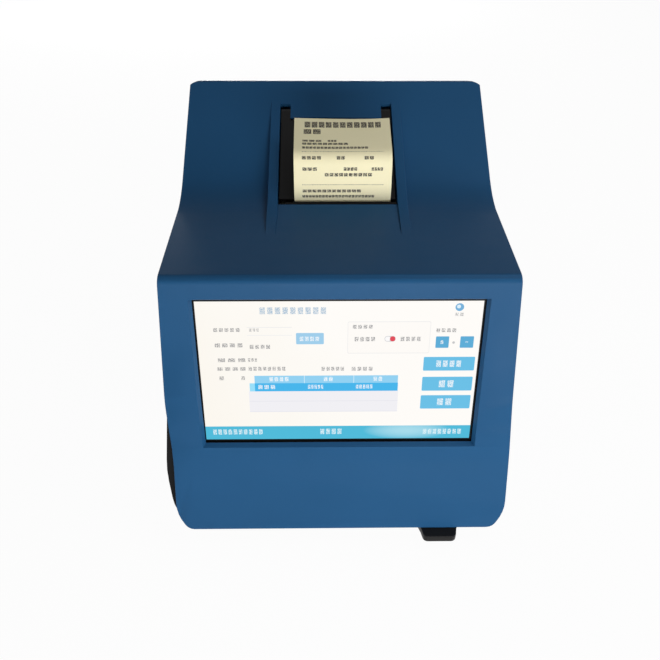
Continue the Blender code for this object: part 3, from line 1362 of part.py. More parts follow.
TRAY_LOW_Z = 0.0075
TRAY_HIGH_Z = 0.0125
TONGUE_WIDTH = 0.0020
TONGUE_LOW_Z = 0.0080
TONGUE_HIGH_Z = 0.0092
NOSE_ROUND = 0.0030
NOSE_TAPER = 0.0012
SHOULDER_Y = 0.0010
WELL_START_Y = 0.0010
WELL_DEPTH = 0.0030
CARD_GAP = 0.0005
RACK_MODULE = 0.0008
RACK_LOW_Z = 0.0106
RACK_ROOT = 0.0004
TRAVEL_PITCHES = 30
RACK_START_PITCHES = 1
RAIL_WIDTH = 0.0034
RAIL_LOW_Z = BASE_Z + WALL + GAP
RAIL_HIGH_Z = 0.0103
RAIL_START_Y = 0.0140
TRAY_PINION_TEETH = 12
TRAY_PINION_HIGH_Z = 0.0130
TRAY_MOTOR_RADIUS = 0.0100
TRAY_MOTOR_HEIGHT = 0.0160
TRAY_SHAFT_RADIUS = 0.0010
TRAY_SHAFT_TOP_Z = 0.0220
SHEET = 0.0012
BRACKET_LOW_Z = 0.0138
TRAY_REAR_Y = TRAY_LENGTH
RACK_PITCH = math.pi * RACK_MODULE
TRAY_TRAVEL = TRAVEL_PITCHES * RACK_PITCH
PINION_RADIUS = TRAY_PINION_TEETH * RACK_MODULE / 2
RACK_LINE = TRAY_WIDTH / 2 + RACK_MODULE * ROOT_SHARE
PINION_X = TRAY_X - RACK_LINE - PINION_RADIUS - GEAR_MESH_GAP
RACK_END_Y = TRAY_REAR_Y - RACK_PITCH
PINION_Y = RACK_END_Y - TRAY_TRAVEL - RACK_PITCH * 2.0
TRAY_FRAME = frame("tray_axes", (TRAY_X, 0.0, TRAY_LOW_Z), 0.0, HOUSING)
TRAY_PINION_AXIS = frame("tray_pinion_axis", (PINION_X, PINION_Y, TRAY_LOW_Z), 0.0, HOUSING)


def tray_outline():
    """Top view of the tray with its narrower rounded nose."""
    half = TRAY_WIDTH / 2
    nose = NOSE_WIDTH / 2
    return rounded([
        (TRAY_X - nose + NOSE_TAPER, -NOSE_REACH, NOSE_ROUND),
        (TRAY_X + nose - NOSE_TAPER, -NOSE_REACH, NOSE_ROUND),
        (TRAY_X + nose, 0.0, 0.0),
        (TRAY_X + half, SHOULDER_Y + NOSE_ROUND, 0.0),
        (TRAY_X + half, TRAY_REAR_Y, 0.0),
        (TRAY_X - half, TRAY_REAR_Y, 0.0),
        (TRAY_X - half, SHOULDER_Y + NOSE_ROUND, 0.0),
        (TRAY_X - nose, 0.0, 0.0),
    ])


def rack_outline():
    """Top view of the rack, whose teeth point to the pinion."""
    root = TRAY_X - TRAY_WIDTH / 2 - RACK_ROOT + RACK_ROOT
    line = TRAY_X - RACK_LINE
    tip = line - RACK_MODULE * TIP_SHARE
    start = PINION_Y - RACK_PITCH * RACK_START_PITCHES
    count = math.floor((RACK_END_Y - start) / RACK_PITCH)
    inner = root + TONGUE_WIDTH / 2
    outline = [(inner, start - RACK_PITCH / 2), (root - GAP, start - RACK_PITCH / 2)]
    foot, head = tooth_corners(root, tip)[0][1], tooth_corners(root, tip)[1][1]
    for tooth in range(count + 1):
        middle = start + tooth * RACK_PITCH
        for x, share in ((root - GAP, foot), (tip, head), (tip, -head), (root - GAP, -foot)):
            outline.append((x, middle + share * RACK_PITCH))
    last = start + count * RACK_PITCH + RACK_PITCH / 2
    outline.extend([(root - GAP, last), (inner, last)])
    return outline


def make_tray():
    """Sliding tray: card well, side tongues and a rack along its left side."""
    tray = prism("card_tray", tray_outline(), TRAY_LOW_Z, TRAY_HIGH_Z, "Z", BLACK_PLASTIC)
    soften(tray, GAP * 2, 2)
    half = TRAY_WIDTH / 2
    well_half = CARD_WIDTH / 2 + CARD_GAP / 2
    tongues = block(
        "tray_tongues", (TRAY_X - half - TONGUE_WIDTH, RAIL_START_Y, TONGUE_LOW_Z),
        (TRAY_X + half + TONGUE_WIDTH, TRAY_REAR_Y - GAP, TONGUE_HIGH_Z), cutter=True,
    )
    rack = prism("tray_rack", rack_outline(), RACK_LOW_Z, TRAY_HIGH_Z - GAP * 2, "Z", cutter=True)
    join(tray, tongues, rack)
    well = block(
        "card_well", (TRAY_X - well_half, WELL_START_Y, TRAY_HIGH_Z - WELL_DEPTH),
        (TRAY_X + well_half, WELL_START_Y + CARD_LENGTH + CARD_GAP, TRAY_HIGH_Z + OVERRUN), cutter=True,
    )
    thumb = rod(
        "thumb_scoop", well_half / 2, (WELL_START_Y + CARD_LENGTH, TRAY_HIGH_Z + well_half / 4),
        TRAY_X - well_half / 2, TRAY_X + well_half / 2, "X", cutter=True, sides=ROUND_SIDES,
    )
    cut(tray, well, thumb)
    carry(tray, TRAY_FRAME)


def rail_section(side):
    """Section across a rail: a channel that opens towards the tray."""
    near = TRAY_X + side * (TRAY_WIDTH / 2 + GAP)
    far = near + side * (RAIL_WIDTH - GAP)
    groove = TRAY_X + side * (TRAY_WIDTH / 2 + TONGUE_WIDTH + GAP)
    low = TONGUE_LOW_Z - GAP
    high = TONGUE_HIGH_Z + GAP
    return [
        (near, RAIL_LOW_Z), (far, RAIL_LOW_Z), (far, RAIL_HIGH_Z), (near, RAIL_HIGH_Z),
        (near, high), (groove, high), (groove, low), (near, low),
    ]


def make_rails():
    """Two channel rails on the floor, one on each side of the tray."""
    for side, name in ((-1, "left"), (1, "right")):
        prism(
            f"tray_rail_{name}", rail_section(side), RAIL_START_Y, TRAY_REAR_Y, "Y", DARK_PLASTIC
        )


BRACKET_REACH = 0.0120
BRACKET_LEG = 0.0160
BRACKET_FLANGE = 0.0080
BRACKET_HALF = 0.0110


def make_tray_drive():
    """Pinion on the motor's shaft, the motor, and the bent bracket that carries it."""
    pinion = prism(
        "tray_pinion", gear_outline(TRAY_PINION_TEETH, RACK_MODULE, (PINION_X, PINION_Y), math.tau / TRAY_PINION_TEETH / 2),
        RACK_LOW_Z, TRAY_PINION_HIGH_Z, "Z", BRASS,
    )
    join(pinion, rod(
        "tray_pinion_shaft", TRAY_SHAFT_RADIUS, (PINION_X, PINION_Y), TRAY_PINION_HIGH_Z - GAP,
        TRAY_SHAFT_TOP_Z, "Z", cutter=True, sides=SMALL_SIDES,
    ))
    carry(pinion, TRAY_PINION_AXIS)
    motor_low = BRACKET_LOW_Z + SHEET + GAP
    motor = rod(
        "tray_motor", TRAY_MOTOR_RADIUS, (PINION_X, PINION_Y), motor_low, motor_low + TRAY_MOTOR_HEIGHT,
        "Z", STEEL,
    )
    cut(motor, rod(
        "tray_motor_bore", TRAY_SHAFT_RADIUS + GAP, (PINION_X, PINION_Y), motor_low - OVERRUN,
        TRAY_SHAFT_TOP_Z + GAP, "Z", cutter=True, sides=SMALL_SIDES,
    ))
    top = BRACKET_LOW_Z + SHEET
    leg = PINION_X - BRACKET_LEG
    outline = [
        (leg - BRACKET_FLANGE, RAIL_LOW_Z), (leg, RAIL_LOW_Z), (leg, BRACKET_LOW_Z),
        (PINION_X + BRACKET_REACH, BRACKET_LOW_Z), (PINION_X + BRACKET_REACH, top),
        (leg - SHEET, top), (leg - SHEET, RAIL_LOW_Z + SHEET), (leg - BRACKET_FLANGE, RAIL_LOW_Z + SHEET),
    ]
    bracket = prism(
        "motor_bracket", outline, PINION_Y - BRACKET_HALF, PINION_Y + BRACKET_HALF, "Y", STEEL
    )
    cut(bracket, rod(
        "bracket_shaft_hole", TRAY_SHAFT_RADIUS * 3, (PINION_X, PINION_Y), BRACKET_LOW_Z - OVERRUN,
        top + OVERRUN, "Z", cutter=True, sides=SMALL_SIDES,
    ))


BRIDGE_Y = 0.0980
BRIDGE_HALF = 0.0130
BRIDGE_LEG_GAP = 0.0010
OPTICS_WIDTH = 0.0260
OPTICS_HEIGHT = 0.0220
OPTICS_TUBE_RADIUS = 0.0055
LENS_RADIUS = 0.0042
LENS_THICKNESS = 0.0018


def make_optics():
    """Optics head on a sheet metal bridge over the tray, looking down through a lens."""
    left = TRAY_X - TRAY_WIDTH / 2 - RAIL_WIDTH - BRIDGE_LEG_GAP
    right = TRAY_X + TRAY_WIDTH / 2 + RAIL_WIDTH + BRIDGE_LEG_GAP
    top = BRACKET_LOW_Z + SHEET
    outline = [
        (left - SHEET, RAIL_LOW_Z), (left, RAIL_LOW_Z), (left, BRACKET_LOW_Z), (right, BRACKET_LOW_Z),
        (right, RAIL_LOW_Z), (right + SHEET, RAIL_LOW_Z), (right + SHEET, top), (left - SHEET, top),
    ]
    bridge = prism(
        "optics_bridge", outline, BRIDGE_Y - BRIDGE_HALF, BRIDGE_Y + BRIDGE_HALF, "Y", STEEL
    )
    cut(bridge, rod(
        "bridge_hole", OPTICS_TUBE_RADIUS, (TRAY_X, BRIDGE_Y), BRACKET_LOW_Z - OVERRUN, top + OVERRUN,
        "Z", cutter=True,
    ))
    half = OPTICS_WIDTH / 2
    head_low = top + GAP
    head = block(
        "optics_head", (TRAY_X - half, BRIDGE_Y - half + GAP, head_low),
        (TRAY_X + half, BRIDGE_Y + half - GAP, head_low + OPTICS_HEIGHT), DARK_PLASTIC,
    )
    soften(head, GAP * 3, 2)
    lens_low = head_low + LENS_THICKNESS
    cut(head, rod(
        "head_bore", LENS_RADIUS + GAP, (TRAY_X, BRIDGE_Y), head_low - OVERRUN,
        lens_low + LENS_THICKNESS + GAP, "Z", cutter=True,
    ))
    profile = [
        (0.0, lens_low + LENS_THICKNESS), (LENS_RADIUS, lens_low + LENS_THICKNESS),
        (LENS_RADIUS, lens_low), (LENS_RADIUS / 2, lens_low - LENS_THICKNESS / 4),
        (0.0, lens_low - LENS_THICKNESS / 3),
    ]
    turned("optics_lens", profile, (TRAY_X, BRIDGE_Y, 0.0), CLEAR_GLASS, HOUSING)


# Control board on standoffs over the floor

BOARD_SIDE = 0.0153
BOARD_LEFT = BOARD_SIDE - TOP_WIDTH / 2
BOARD_TRAY_ROOM = 0.0437
BOARD_RIGHT = TRAY_X - BOARD_TRAY_ROOM
BOARD_FRONT = 0.0500
BOARD_INSET = 0.0480
BOARD_REAR = BODY_DEPTH - BOARD_INSET
BOARD_Z = 0.0180
BOARD_EDGE = 0.0050
SINK_SIZE = 0.0240
SINK_HEIGHT = 0.0090


def make_control_board():
    """Main circuit board with its processor under a finned block."""
    board = block(
        "control_board", (BOARD_LEFT, BOARD_FRONT, BOARD_Z),
        (BOARD_RIGHT, BOARD_REAR, BOARD_Z + BOARD_THICKNESS), CIRCUIT_GREEN,
    )
    for index, x in enumerate((BOARD_LEFT + BOARD_EDGE, BOARD_RIGHT - BOARD_EDGE)):
        for row, y in enumerate((BOARD_FRONT + BOARD_EDGE, BOARD_REAR - BOARD_EDGE)):
            join(board, rod(
                f"board_standoff_{index}_{row}", STANDOFF_RADIUS, (x, y), RAIL_LOW_Z, BOARD_Z + GAP, "Z",
                cutter=True, sides=SMALL_SIDES,
            ))
    middle = ((BOARD_LEFT + BOARD_RIGHT) / 2, (BOARD_FRONT + BOARD_REAR) / 2)
    surface = BOARD_Z + BOARD_THICKNESS
    sink = block(
        "heat_sink", (middle[0] - SINK_SIZE / 2, middle[1] - SINK_SIZE / 2, surface + GAP),
        (middle[0] + SINK_SIZE / 2, middle[1] + SINK_SIZE / 2, surface + SINK_HEIGHT), STEEL,
    )
    fins = []
    fin_count = 5
    pitch = SINK_SIZE / (fin_count * 2 - 1)
    for index in range(fin_count - 1):
        low = middle[0] - SINK_SIZE / 2 + pitch * (2 * index + 1)
        fins.append((
            (low, middle[1] - SINK_SIZE / 2 - OVERRUN, surface + SINK_HEIGHT / 3),
            (low + pitch, middle[1] + SINK_SIZE / 2 + OVERRUN, surface + SINK_HEIGHT + OVERRUN),
        ))
    cut(sink, blocks("sink_grooves", fins, cutter=True))
    for index, share in enumerate(CHIP_SHARES):
        x = BOARD_LEFT + (BOARD_RIGHT - BOARD_LEFT) * share[0]
        y = BOARD_FRONT + (BOARD_REAR - BOARD_FRONT) * share[1]
        join(board, block(
            f"board_chip_{index}", (x - CHIP_SIZE / 2, y - CHIP_SIZE / 2, surface - GAP),
            (x + CHIP_SIZE / 2, y + CHIP_SIZE / 2, surface + CHIP_HEIGHT), cutter=True,
        ))


CHIP_SHARES = ((0.2, 0.25), (0.75, 0.25), (0.3, 0.82))


# Rear panel with its screws, fan, switch and sockets

PANEL_THICKNESS = 0.0015
PANEL_BACK = BODY_DEPTH - REAR_PANEL_RECESS + GAP
PANEL_FACE = PANEL_BACK + PANEL_THICKNESS
FAN_X = -REAR_WINDOW_WIDTH / 4
FAN_Z = 0.1080
FAN_SIZE = 0.0400
FAN_DEPTH = 0.0100
FAN_BORE = 0.0190
FAN_HUB = 0.0085
FAN_BLADES = 7
FAN_BLADE_RADIUS = 0.0180
FAN_TWIST = math.radians(24)
GRILLE_SLOTS = 7
GRILLE_SLOT = 0.0030
SOCKET_Z = 0.0500
SOCKET_DEPTH = 0.0120
POWER_INSET = 0.0100
POWER_X = REAR_WINDOW_WIDTH / 2 - POWER_INSET
SERIAL_INSET = 0.0280
SERIAL_X = POWER_X - SERIAL_INSET
NETWORK_INSET = 0.0320
NETWORK_X = SERIAL_X - NETWORK_INSET
NETWORK_SIZE = (0.0160, 0.0135)
USB_SPREAD_SHARE = 11 / 21
NETWORK_SIDE_X = NETWORK_X - NETWORK_SIZE[0] / 2
USB_X = NETWORK_SIDE_X - (NETWORK_SIDE_X + REAR_WINDOW_WIDTH / 2) * USB_SPREAD_SHARE
NETWORK_OPENING = (0.0118, 0.0086)
USB_SIZE = (0.0142, 0.0160)
USB_OPENING = (0.0122, 0.0050)
USB_TONGUE = (0.0100, 0.0018)
SERIAL_SIZE = (0.0308, 0.0125)
SERIAL_SHELL = (0.0165, 0.0080)
POWER_RADIUS = 0.0042
POWER_BORE = 0.0028
POWER_PIN = 0.0010
SWITCH_X = REAR_WINDOW_WIDTH / 4
SWITCH_Z = 0.1080
SWITCH_SIZE = (0.0130, 0.0200)
SWITCH_FRAME = 0.0015
ROCKER_ANGLE = math.radians(8)


def panel_rect(name, place, size, low, high, finish=None, parent=None, cutter=False):
    """Box that passes through the rear panel, centred on a place in it."""
    return block(
        name, (place[0] - size[0] / 2, low, place[1] - size[1] / 2),
        (place[0] + size[0] / 2, high, place[1] + size[1] / 2), finish, parent or HOUSING, cutter,
    )


def grown(size, amount):
    """Size with the same amount added on every side."""
    return (size[0] + amount * 2, size[1] + amount * 2)


def make_rear_panel():
    """Steel panel in the rear recess, with the fan grille and the socket holes."""
    width = REAR_WINDOW_WIDTH + REAR_PANEL_MARGIN * 2 - GAP * 2
    low = REAR_WINDOW_LOW - REAR_PANEL_MARGIN + GAP
    high = REAR_WINDOW_HIGH + REAR_PANEL_MARGIN - GAP
    panel = block(
        "rear_panel", (-width / 2, PANEL_BACK, low), (width / 2, PANEL_FACE, high), DARK_PLASTIC
    )
    before = PANEL_BACK - OVERRUN
    behind = PANEL_FACE + OVERRUN
    slots = []
    pitch = FAN_BORE * 2 / GRILLE_SLOTS
    for index in range(GRILLE_SLOTS):
        offset = (index - (GRILLE_SLOTS - 1) / 2) * pitch
        half = math.sqrt(FAN_BORE ** 2 - offset ** 2)
        slots.append((
            (FAN_X - half, before, FAN_Z + offset - GRILLE_SLOT / 2),
            (FAN_X + half, behind, FAN_Z + offset + GRILLE_SLOT / 2),
        ))
    cut(panel, blocks("fan_grille", slots, cutter=True))
    for name, place, size in (
        ("network_hole", (NETWORK_X, SOCKET_Z), NETWORK_SIZE),
        ("usb_hole", (USB_X, SOCKET_Z), USB_SIZE),
        ("serial_hole", (SERIAL_X, SOCKET_Z), SERIAL_SHELL),
        ("switch_hole", (SWITCH_X, SWITCH_Z), SWITCH_SIZE),
    ):
        cut(panel, panel_rect(name, place, grown(size, GAP), before, behind, cutter=True))
    cut(panel, rod(
        "power_hole", POWER_RADIUS + GAP, (POWER_X, SOCKET_Z), before, behind, "Y", cutter=True
    ))
    shank_tip = BODY_DEPTH - WALL - OVERRUN
    index = 0
    for height in REAR_SCREW_ROWS:
        for side in (-1, 1):
            index += 1
            place = (side * REAR_SCREW_X, height)
            cut(panel, rod(
                f"panel_screw_hole_{index}", REAR_SCREW_RADIUS + GAP, place, before, behind, "Y",
                cutter=True, sides=SMALL_SIDES,
            ))
            screw = rod(
                f"rear_screw_{index}", REAR_SCREW_RADIUS, place, shank_tip, PANEL_FACE + GAP * 2, "Y",
                STEEL, sides=SMALL_SIDES,
            )
            head = rod(
                f"rear_screw_head_{index}", SCREW_HEAD_RADIUS, place, PANEL_FACE + GAP,
                PANEL_FACE + GAP + REAR_HEAD_HEIGHT, "Y", cutter=True, sides=SMALL_SIDES,
            )
            join(screw, head)


def make_fan():
    """Square fan behind the grille, with a turning rotor."""
    rear = PANEL_BACK - GAP
    frame_body = panel_rect(
        "fan_frame", (FAN_X, FAN_Z), (FAN_SIZE, FAN_SIZE), rear - FAN_DEPTH, rear, BLACK_PLASTIC
    )
    soften(frame_body, GAP * 4, 2)
    cut(frame_body, rod(
        "fan_bore", FAN_BORE, (FAN_X, FAN_Z), rear - FAN_DEPTH - OVERRUN, rear + OVERRUN, "Y", cutter=True,
    ))
    join(frame_body, block(
        "fan_spokes", (FAN_X - FAN_BORE - GAP, rear - FAN_DEPTH, FAN_Z - GRILLE_SLOT / 2),
        (FAN_X + FAN_BORE + GAP, rear - FAN_DEPTH + PANEL_THICKNESS, FAN_Z + GRILLE_SLOT / 2), cutter=True,
    ))
    join(frame_body, rod(
        "fan_motor_seat", FAN_HUB, (FAN_X, FAN_Z), rear - FAN_DEPTH, rear - FAN_DEPTH + PANEL_THICKNESS,
        "Y", cutter=True,
    ))
    axis = frame("fan_axis", (FAN_X, rear - FAN_DEPTH / 2, FAN_Z), math.pi / 2, HOUSING)
    outline = []
    step = math.tau / FAN_BLADES
    for blade in range(FAN_BLADES):
        middle = blade * step
        for radius, share in BLADE_SHARES:
            angle = middle + share * step
            outline.append((radius * math.cos(angle), radius * math.sin(angle)))
    half = FAN_DEPTH / 2 - PANEL_THICKNESS - GAP
    rotor = prism("fan_rotor", outline, -half, half, "Z", BLACK_PLASTIC, axis)
    twist = rotor.modifiers.new("twist", "SIMPLE_DEFORM")
    twist.deform_method = "TWIST"
    twist.angle = FAN_TWIST
    twist.deform_axis = "Z"


BLADE_SHARES = (
    (FAN_HUB, -0.32), (FAN_HUB, -0.12), (FAN_BLADE_RADIUS, -0.08), (FAN_BLADE_RADIUS, 0.10), (FAN_HUB, 0.14),
)


def make_switch():
    """Rocker switch: a frame through the panel and the rocker on its axle line."""
    low = PANEL_BACK - SOCKET_DEPTH
    housing = panel_rect(
        "switch_housing", (SWITCH_X, SWITCH_Z), SWITCH_SIZE, low, PANEL_FACE + REAR_HEAD_HEIGHT / 2, BLACK_PLASTIC
    )
    inner = grown(SWITCH_SIZE, -SWITCH_FRAME)
    rocker_back = PANEL_FACE - SWITCH_SIZE[1] / 4
    cut(housing, panel_rect(
        "switch_well", (SWITCH_X, SWITCH_Z), inner, rocker_back - OVERRUN, PANEL_FACE + OVERRUN, cutter=True,
    ))
    axis = frame("rocker_axis", (SWITCH_X, rocker_back, SWITCH_Z), ROCKER_ANGLE, HOUSING)
    half_x = inner[0] / 2 - GAP
    reach = inner[1] / 2 - GAP * 2
    face = PANEL_FACE - rocker_back
    outline = [
        (-OVERRUN / 2, -reach / 2), (face - reach * math.tan(ROCKER_ANGLE), -reach * SWITCH_REACH_SHARE),
        (face, 0.0), (face - reach * math.tan(ROCKER_ANGLE), reach * SWITCH_REACH_SHARE),
        (-OVERRUN / 2, reach / 2),
    ]
    prism("power_rocker", outline, -half_x, half_x, "X", DARK_PLASTIC, axis)


SWITCH_REACH_SHARE = 0.93


def make_sockets():
    """Network, USB, serial and power sockets behind the rear panel."""
    low = PANEL_BACK - SOCKET_DEPTH
    inside = low + PANEL_THICKNESS
    network = panel_rect(
        "network_socket", (NETWORK_X, SOCKET_Z), NETWORK_SIZE, low, PANEL_FACE, STEEL
    )
    cut(network, panel_rect(
        "network_opening", (NETWORK_X, SOCKET_Z), NETWORK_OPENING, inside, PANEL_FACE + OVERRUN, cutter=True,
    ))
    usb = panel_rect("usb_socket", (USB_X, SOCKET_Z), USB_SIZE, low, PANEL_FACE, STEEL)
    for index, side in enumerate((-1, 1)):
        middle = (USB_X, SOCKET_Z + side * USB_SIZE[1] / 4)
        opening = panel_rect(
            f"usb_opening_{index}", middle, USB_OPENING, inside, PANEL_FACE + OVERRUN, cutter=True
        )
        tongue_place = (middle[0], middle[1] + USB_TONGUE[1] / 2)
        tongue = panel_rect(
            f"usb_tongue_{index}", tongue_place, USB_TONGUE, inside - GAP, PANEL_FACE - OVERRUN, cutter=True
        )
        cut(usb, opening)
        join(usb, tongue)
    serial = panel_rect(
        "serial_socket", (SERIAL_X, SOCKET_Z), SERIAL_SIZE, low, PANEL_BACK - GAP, DARK_PLASTIC
    )
    shell = panel_rect(
        "serial_shell", (SERIAL_X, SOCKET_Z), SERIAL_SHELL, PANEL_BACK - GAP * 2, PANEL_FACE, cutter=True
    )
    join(serial, shell)
    power = rod(
        "power_socket", POWER_RADIUS, (POWER_X, SOCKET_Z), low, PANEL_FACE, "Y", DARK_PLASTIC
    )
    flange = panel_rect(
        "power_flange", (POWER_X, SOCKET_Z), (POWER_RADIUS * 3, POWER_RADIUS * 3), low + GAP,
        PANEL_BACK - GAP, cutter=True,
    )
    join(power, flange)
    cut(power, rod(
        "power_bore", POWER_BORE, (POWER_X, SOCKET_Z), inside, PANEL_FACE + OVERRUN, "Y", cutter=True
    ))
    join(power, rod(
        "power_pin", POWER_PIN, (POWER_X, SOCKET_Z), inside - GAP, PANEL_FACE - OVERRUN, "Y", cutter=True,
        sides=SMALL_SIDES,
    ))


make_upper_shell()
make_base_shell()
make_feet()
make_case_screws()
make_display()
make_printer_frame()
make_gear_cover()
make_lid()
make_platen()
make_feed_drive()
make_head()
make_roll()
make_strip()
make_tray()
make_rails()
make_tray_drive()
make_optics()
make_control_board()
make_rear_panel()
make_fan()
make_switch()
make_sockets()
bpy.context.view_layer.update()
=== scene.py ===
import bisect
import json
import math

import bmesh
import bpy
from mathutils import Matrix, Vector
from mathutils.geometry import interpolate_bezier

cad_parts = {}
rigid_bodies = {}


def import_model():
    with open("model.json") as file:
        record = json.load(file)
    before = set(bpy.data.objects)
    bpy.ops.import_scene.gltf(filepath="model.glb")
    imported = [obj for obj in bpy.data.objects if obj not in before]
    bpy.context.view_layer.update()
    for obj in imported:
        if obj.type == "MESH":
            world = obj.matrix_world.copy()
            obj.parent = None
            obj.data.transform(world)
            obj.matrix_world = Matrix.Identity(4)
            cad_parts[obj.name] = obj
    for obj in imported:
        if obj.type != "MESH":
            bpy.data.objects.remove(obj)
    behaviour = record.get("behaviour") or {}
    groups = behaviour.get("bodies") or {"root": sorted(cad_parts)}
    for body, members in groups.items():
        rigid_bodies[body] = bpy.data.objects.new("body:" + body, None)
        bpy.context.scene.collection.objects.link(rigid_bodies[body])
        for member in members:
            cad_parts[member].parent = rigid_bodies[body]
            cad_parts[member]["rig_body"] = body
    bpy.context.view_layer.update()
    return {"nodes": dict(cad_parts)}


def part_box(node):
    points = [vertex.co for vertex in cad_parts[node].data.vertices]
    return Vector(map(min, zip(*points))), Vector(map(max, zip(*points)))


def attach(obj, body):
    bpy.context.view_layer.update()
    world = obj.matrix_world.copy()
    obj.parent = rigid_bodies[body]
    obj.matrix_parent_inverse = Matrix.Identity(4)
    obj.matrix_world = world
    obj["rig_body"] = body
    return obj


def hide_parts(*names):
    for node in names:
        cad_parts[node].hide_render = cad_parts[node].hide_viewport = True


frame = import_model()
NODES = frame["nodes"]

# Camera
# It stands a forearm's length in front of the analyser and above it, and looks down on the face.
# It is turned by under a degree and rolled a little, as the housing's middle and the screen show.
CAMERA_PLACE = (-0.0108, -0.3805, 0.3903)
CAMERA_TURN = (52.30, -0.32, -0.76)
SENSOR_WIDTH = 36.0
LENS = 39.49
bpy.ops.object.camera_add(
    location=CAMERA_PLACE, rotation=[math.radians(turn) for turn in CAMERA_TURN]
)
camera = bpy.context.object
camera.name = "camera"
camera.data.sensor_width = SENSOR_WIDTH
camera.data.lens = LENS
bpy.context.scene.camera = camera
bpy.context.scene.view_settings.view_transform = "Standard"

# Studio
# A white table, a wide soft lamp low in front, a small one overhead and three for the other sides.
# The table and the air are white where the eye or a reflection meets them, and light nothing then.
WHITE = (1.0, 1.0, 1.0, 1.0)
FLOOR_SIZE = 9.0
FLOOR_DROP = 0.0002
FLOOR_COLOUR = (0.90, 0.90, 0.90, 1.0)
FLOOR_ROUGHNESS = 0.9
FLOOR_SHARE = 0.962
AIR_STRENGTH = 0.06
LAMPS = (
    ("front_softbox", (0.13, -0.74, 0.13), (0.0, -0.08, 0.14), (0.70, 0.20), 5.3),
    ("overhead_softbox", (0.24, -0.12, 0.58), (0.02, 0.03, 0.20), (0.24, 0.30), 0.73),
    ("rear_softbox", (-0.20, 1.38, 0.24), (0.0, 0.08, 0.12), (0.90, 0.24), 9.0),
    ("left_softbox", (-0.85, 0.05, 0.12), (-0.08, 0.0, 0.10), (0.50, 0.20), 0.7),
    ("right_softbox", (0.85, 0.05, 0.12), (0.08, 0.0, 0.10), (0.50, 0.20), 2.0),
)

bpy.ops.mesh.primitive_plane_add(size=FLOOR_SIZE, location=(0.0, 0.0, -FLOOR_DROP))
floor = bpy.context.object
floor.name = "floor"
floor_material = bpy.data.materials.new("studio_white")
floor_material.use_nodes = True
floor.data.materials.append(floor_material)
world = bpy.data.worlds.new("studio_air")
bpy.context.scene.world = world
world.use_nodes = True


def seen_share(tree, share):
    """Share of white for rays from the eye, a mirror or a glass, and none for the others."""
    path = tree.nodes.new("ShaderNodeLightPath")
    total = path.outputs["Is Camera Ray"]
    for kind in ("Is Glossy Ray", "Is Transmission Ray"):
        both = tree.nodes.new("ShaderNodeMath")
        both.operation = "MAXIMUM"
        tree.links.new(total, both.inputs[0])
        tree.links.new(path.outputs[kind], both.inputs[1])
        total = both.outputs[0]
    part = tree.nodes.new("ShaderNodeMath")
    part.operation = "MULTIPLY"
    part.inputs[1].default_value = share
    tree.links.new(total, part.inputs[0])
    return part.outputs[0]


floor_tree = floor_material.node_tree
floor_shader = floor_tree.nodes["Principled BSDF"]
floor_shader.inputs["Base Color"].default_value = FLOOR_COLOUR
floor_shader.inputs["Roughness"].default_value = FLOOR_ROUGHNESS
floor_shader.inputs["Specular IOR Level"].default_value = 0.0
floor_glow = floor_tree.nodes.new("ShaderNodeEmission")
floor_glow.inputs["Color"].default_value = WHITE
floor_glow.inputs["Strength"].default_value = 1.0
floor_mix = floor_tree.nodes.new("ShaderNodeMixShader")
floor_tree.links.new(seen_share(floor_tree, FLOOR_SHARE), floor_mix.inputs["Fac"])
floor_tree.links.new(floor_shader.outputs["BSDF"], floor_mix.inputs[1])
floor_tree.links.new(floor_glow.outputs["Emission"], floor_mix.inputs[2])
floor_end = floor_tree.nodes["Material Output"]
floor_tree.links.new(floor_mix.outputs["Shader"], floor_end.inputs["Surface"])

world_tree = world.node_tree
air = world_tree.nodes["Background"]
air.inputs["Color"].default_value = WHITE
air.inputs["Strength"].default_value = AIR_STRENGTH
backdrop = world_tree.nodes.new("ShaderNodeBackground")
backdrop.inputs["Color"].default_value = WHITE
backdrop.inputs["Strength"].default_value = 1.0
world_mix = world_tree.nodes.new("ShaderNodeMixShader")
world_tree.links.new(seen_share(world_tree, 1.0), world_mix.inputs["Fac"])
world_tree.links.new(air.outputs["Background"], world_mix.inputs[1])
world_tree.links.new(backdrop.outputs["Background"], world_mix.inputs[2])
world_end = world_tree.nodes["World Output"]
world_tree.links.new(world_mix.outputs["Shader"], world_end.inputs["Surface"])

for lamp_name, place, target, size, power in LAMPS:
    turn = (Vector(target) - Vector(place)).to_track_quat("-Z", "Y").to_euler()
    bpy.ops.object.light_add(type="AREA", location=place, rotation=turn)
    lamp = bpy.context.object
    lamp.name = lamp_name
    lamp.data.shape = "RECTANGLE"
    lamp.data.size, lamp.data.size_y = size
    lamp.data.energy = power


# Upper shell
# One blue ABS moulding with a satin eroded surface, which carries every other piece.
# It stands over the black base and is held from below by two long screws.


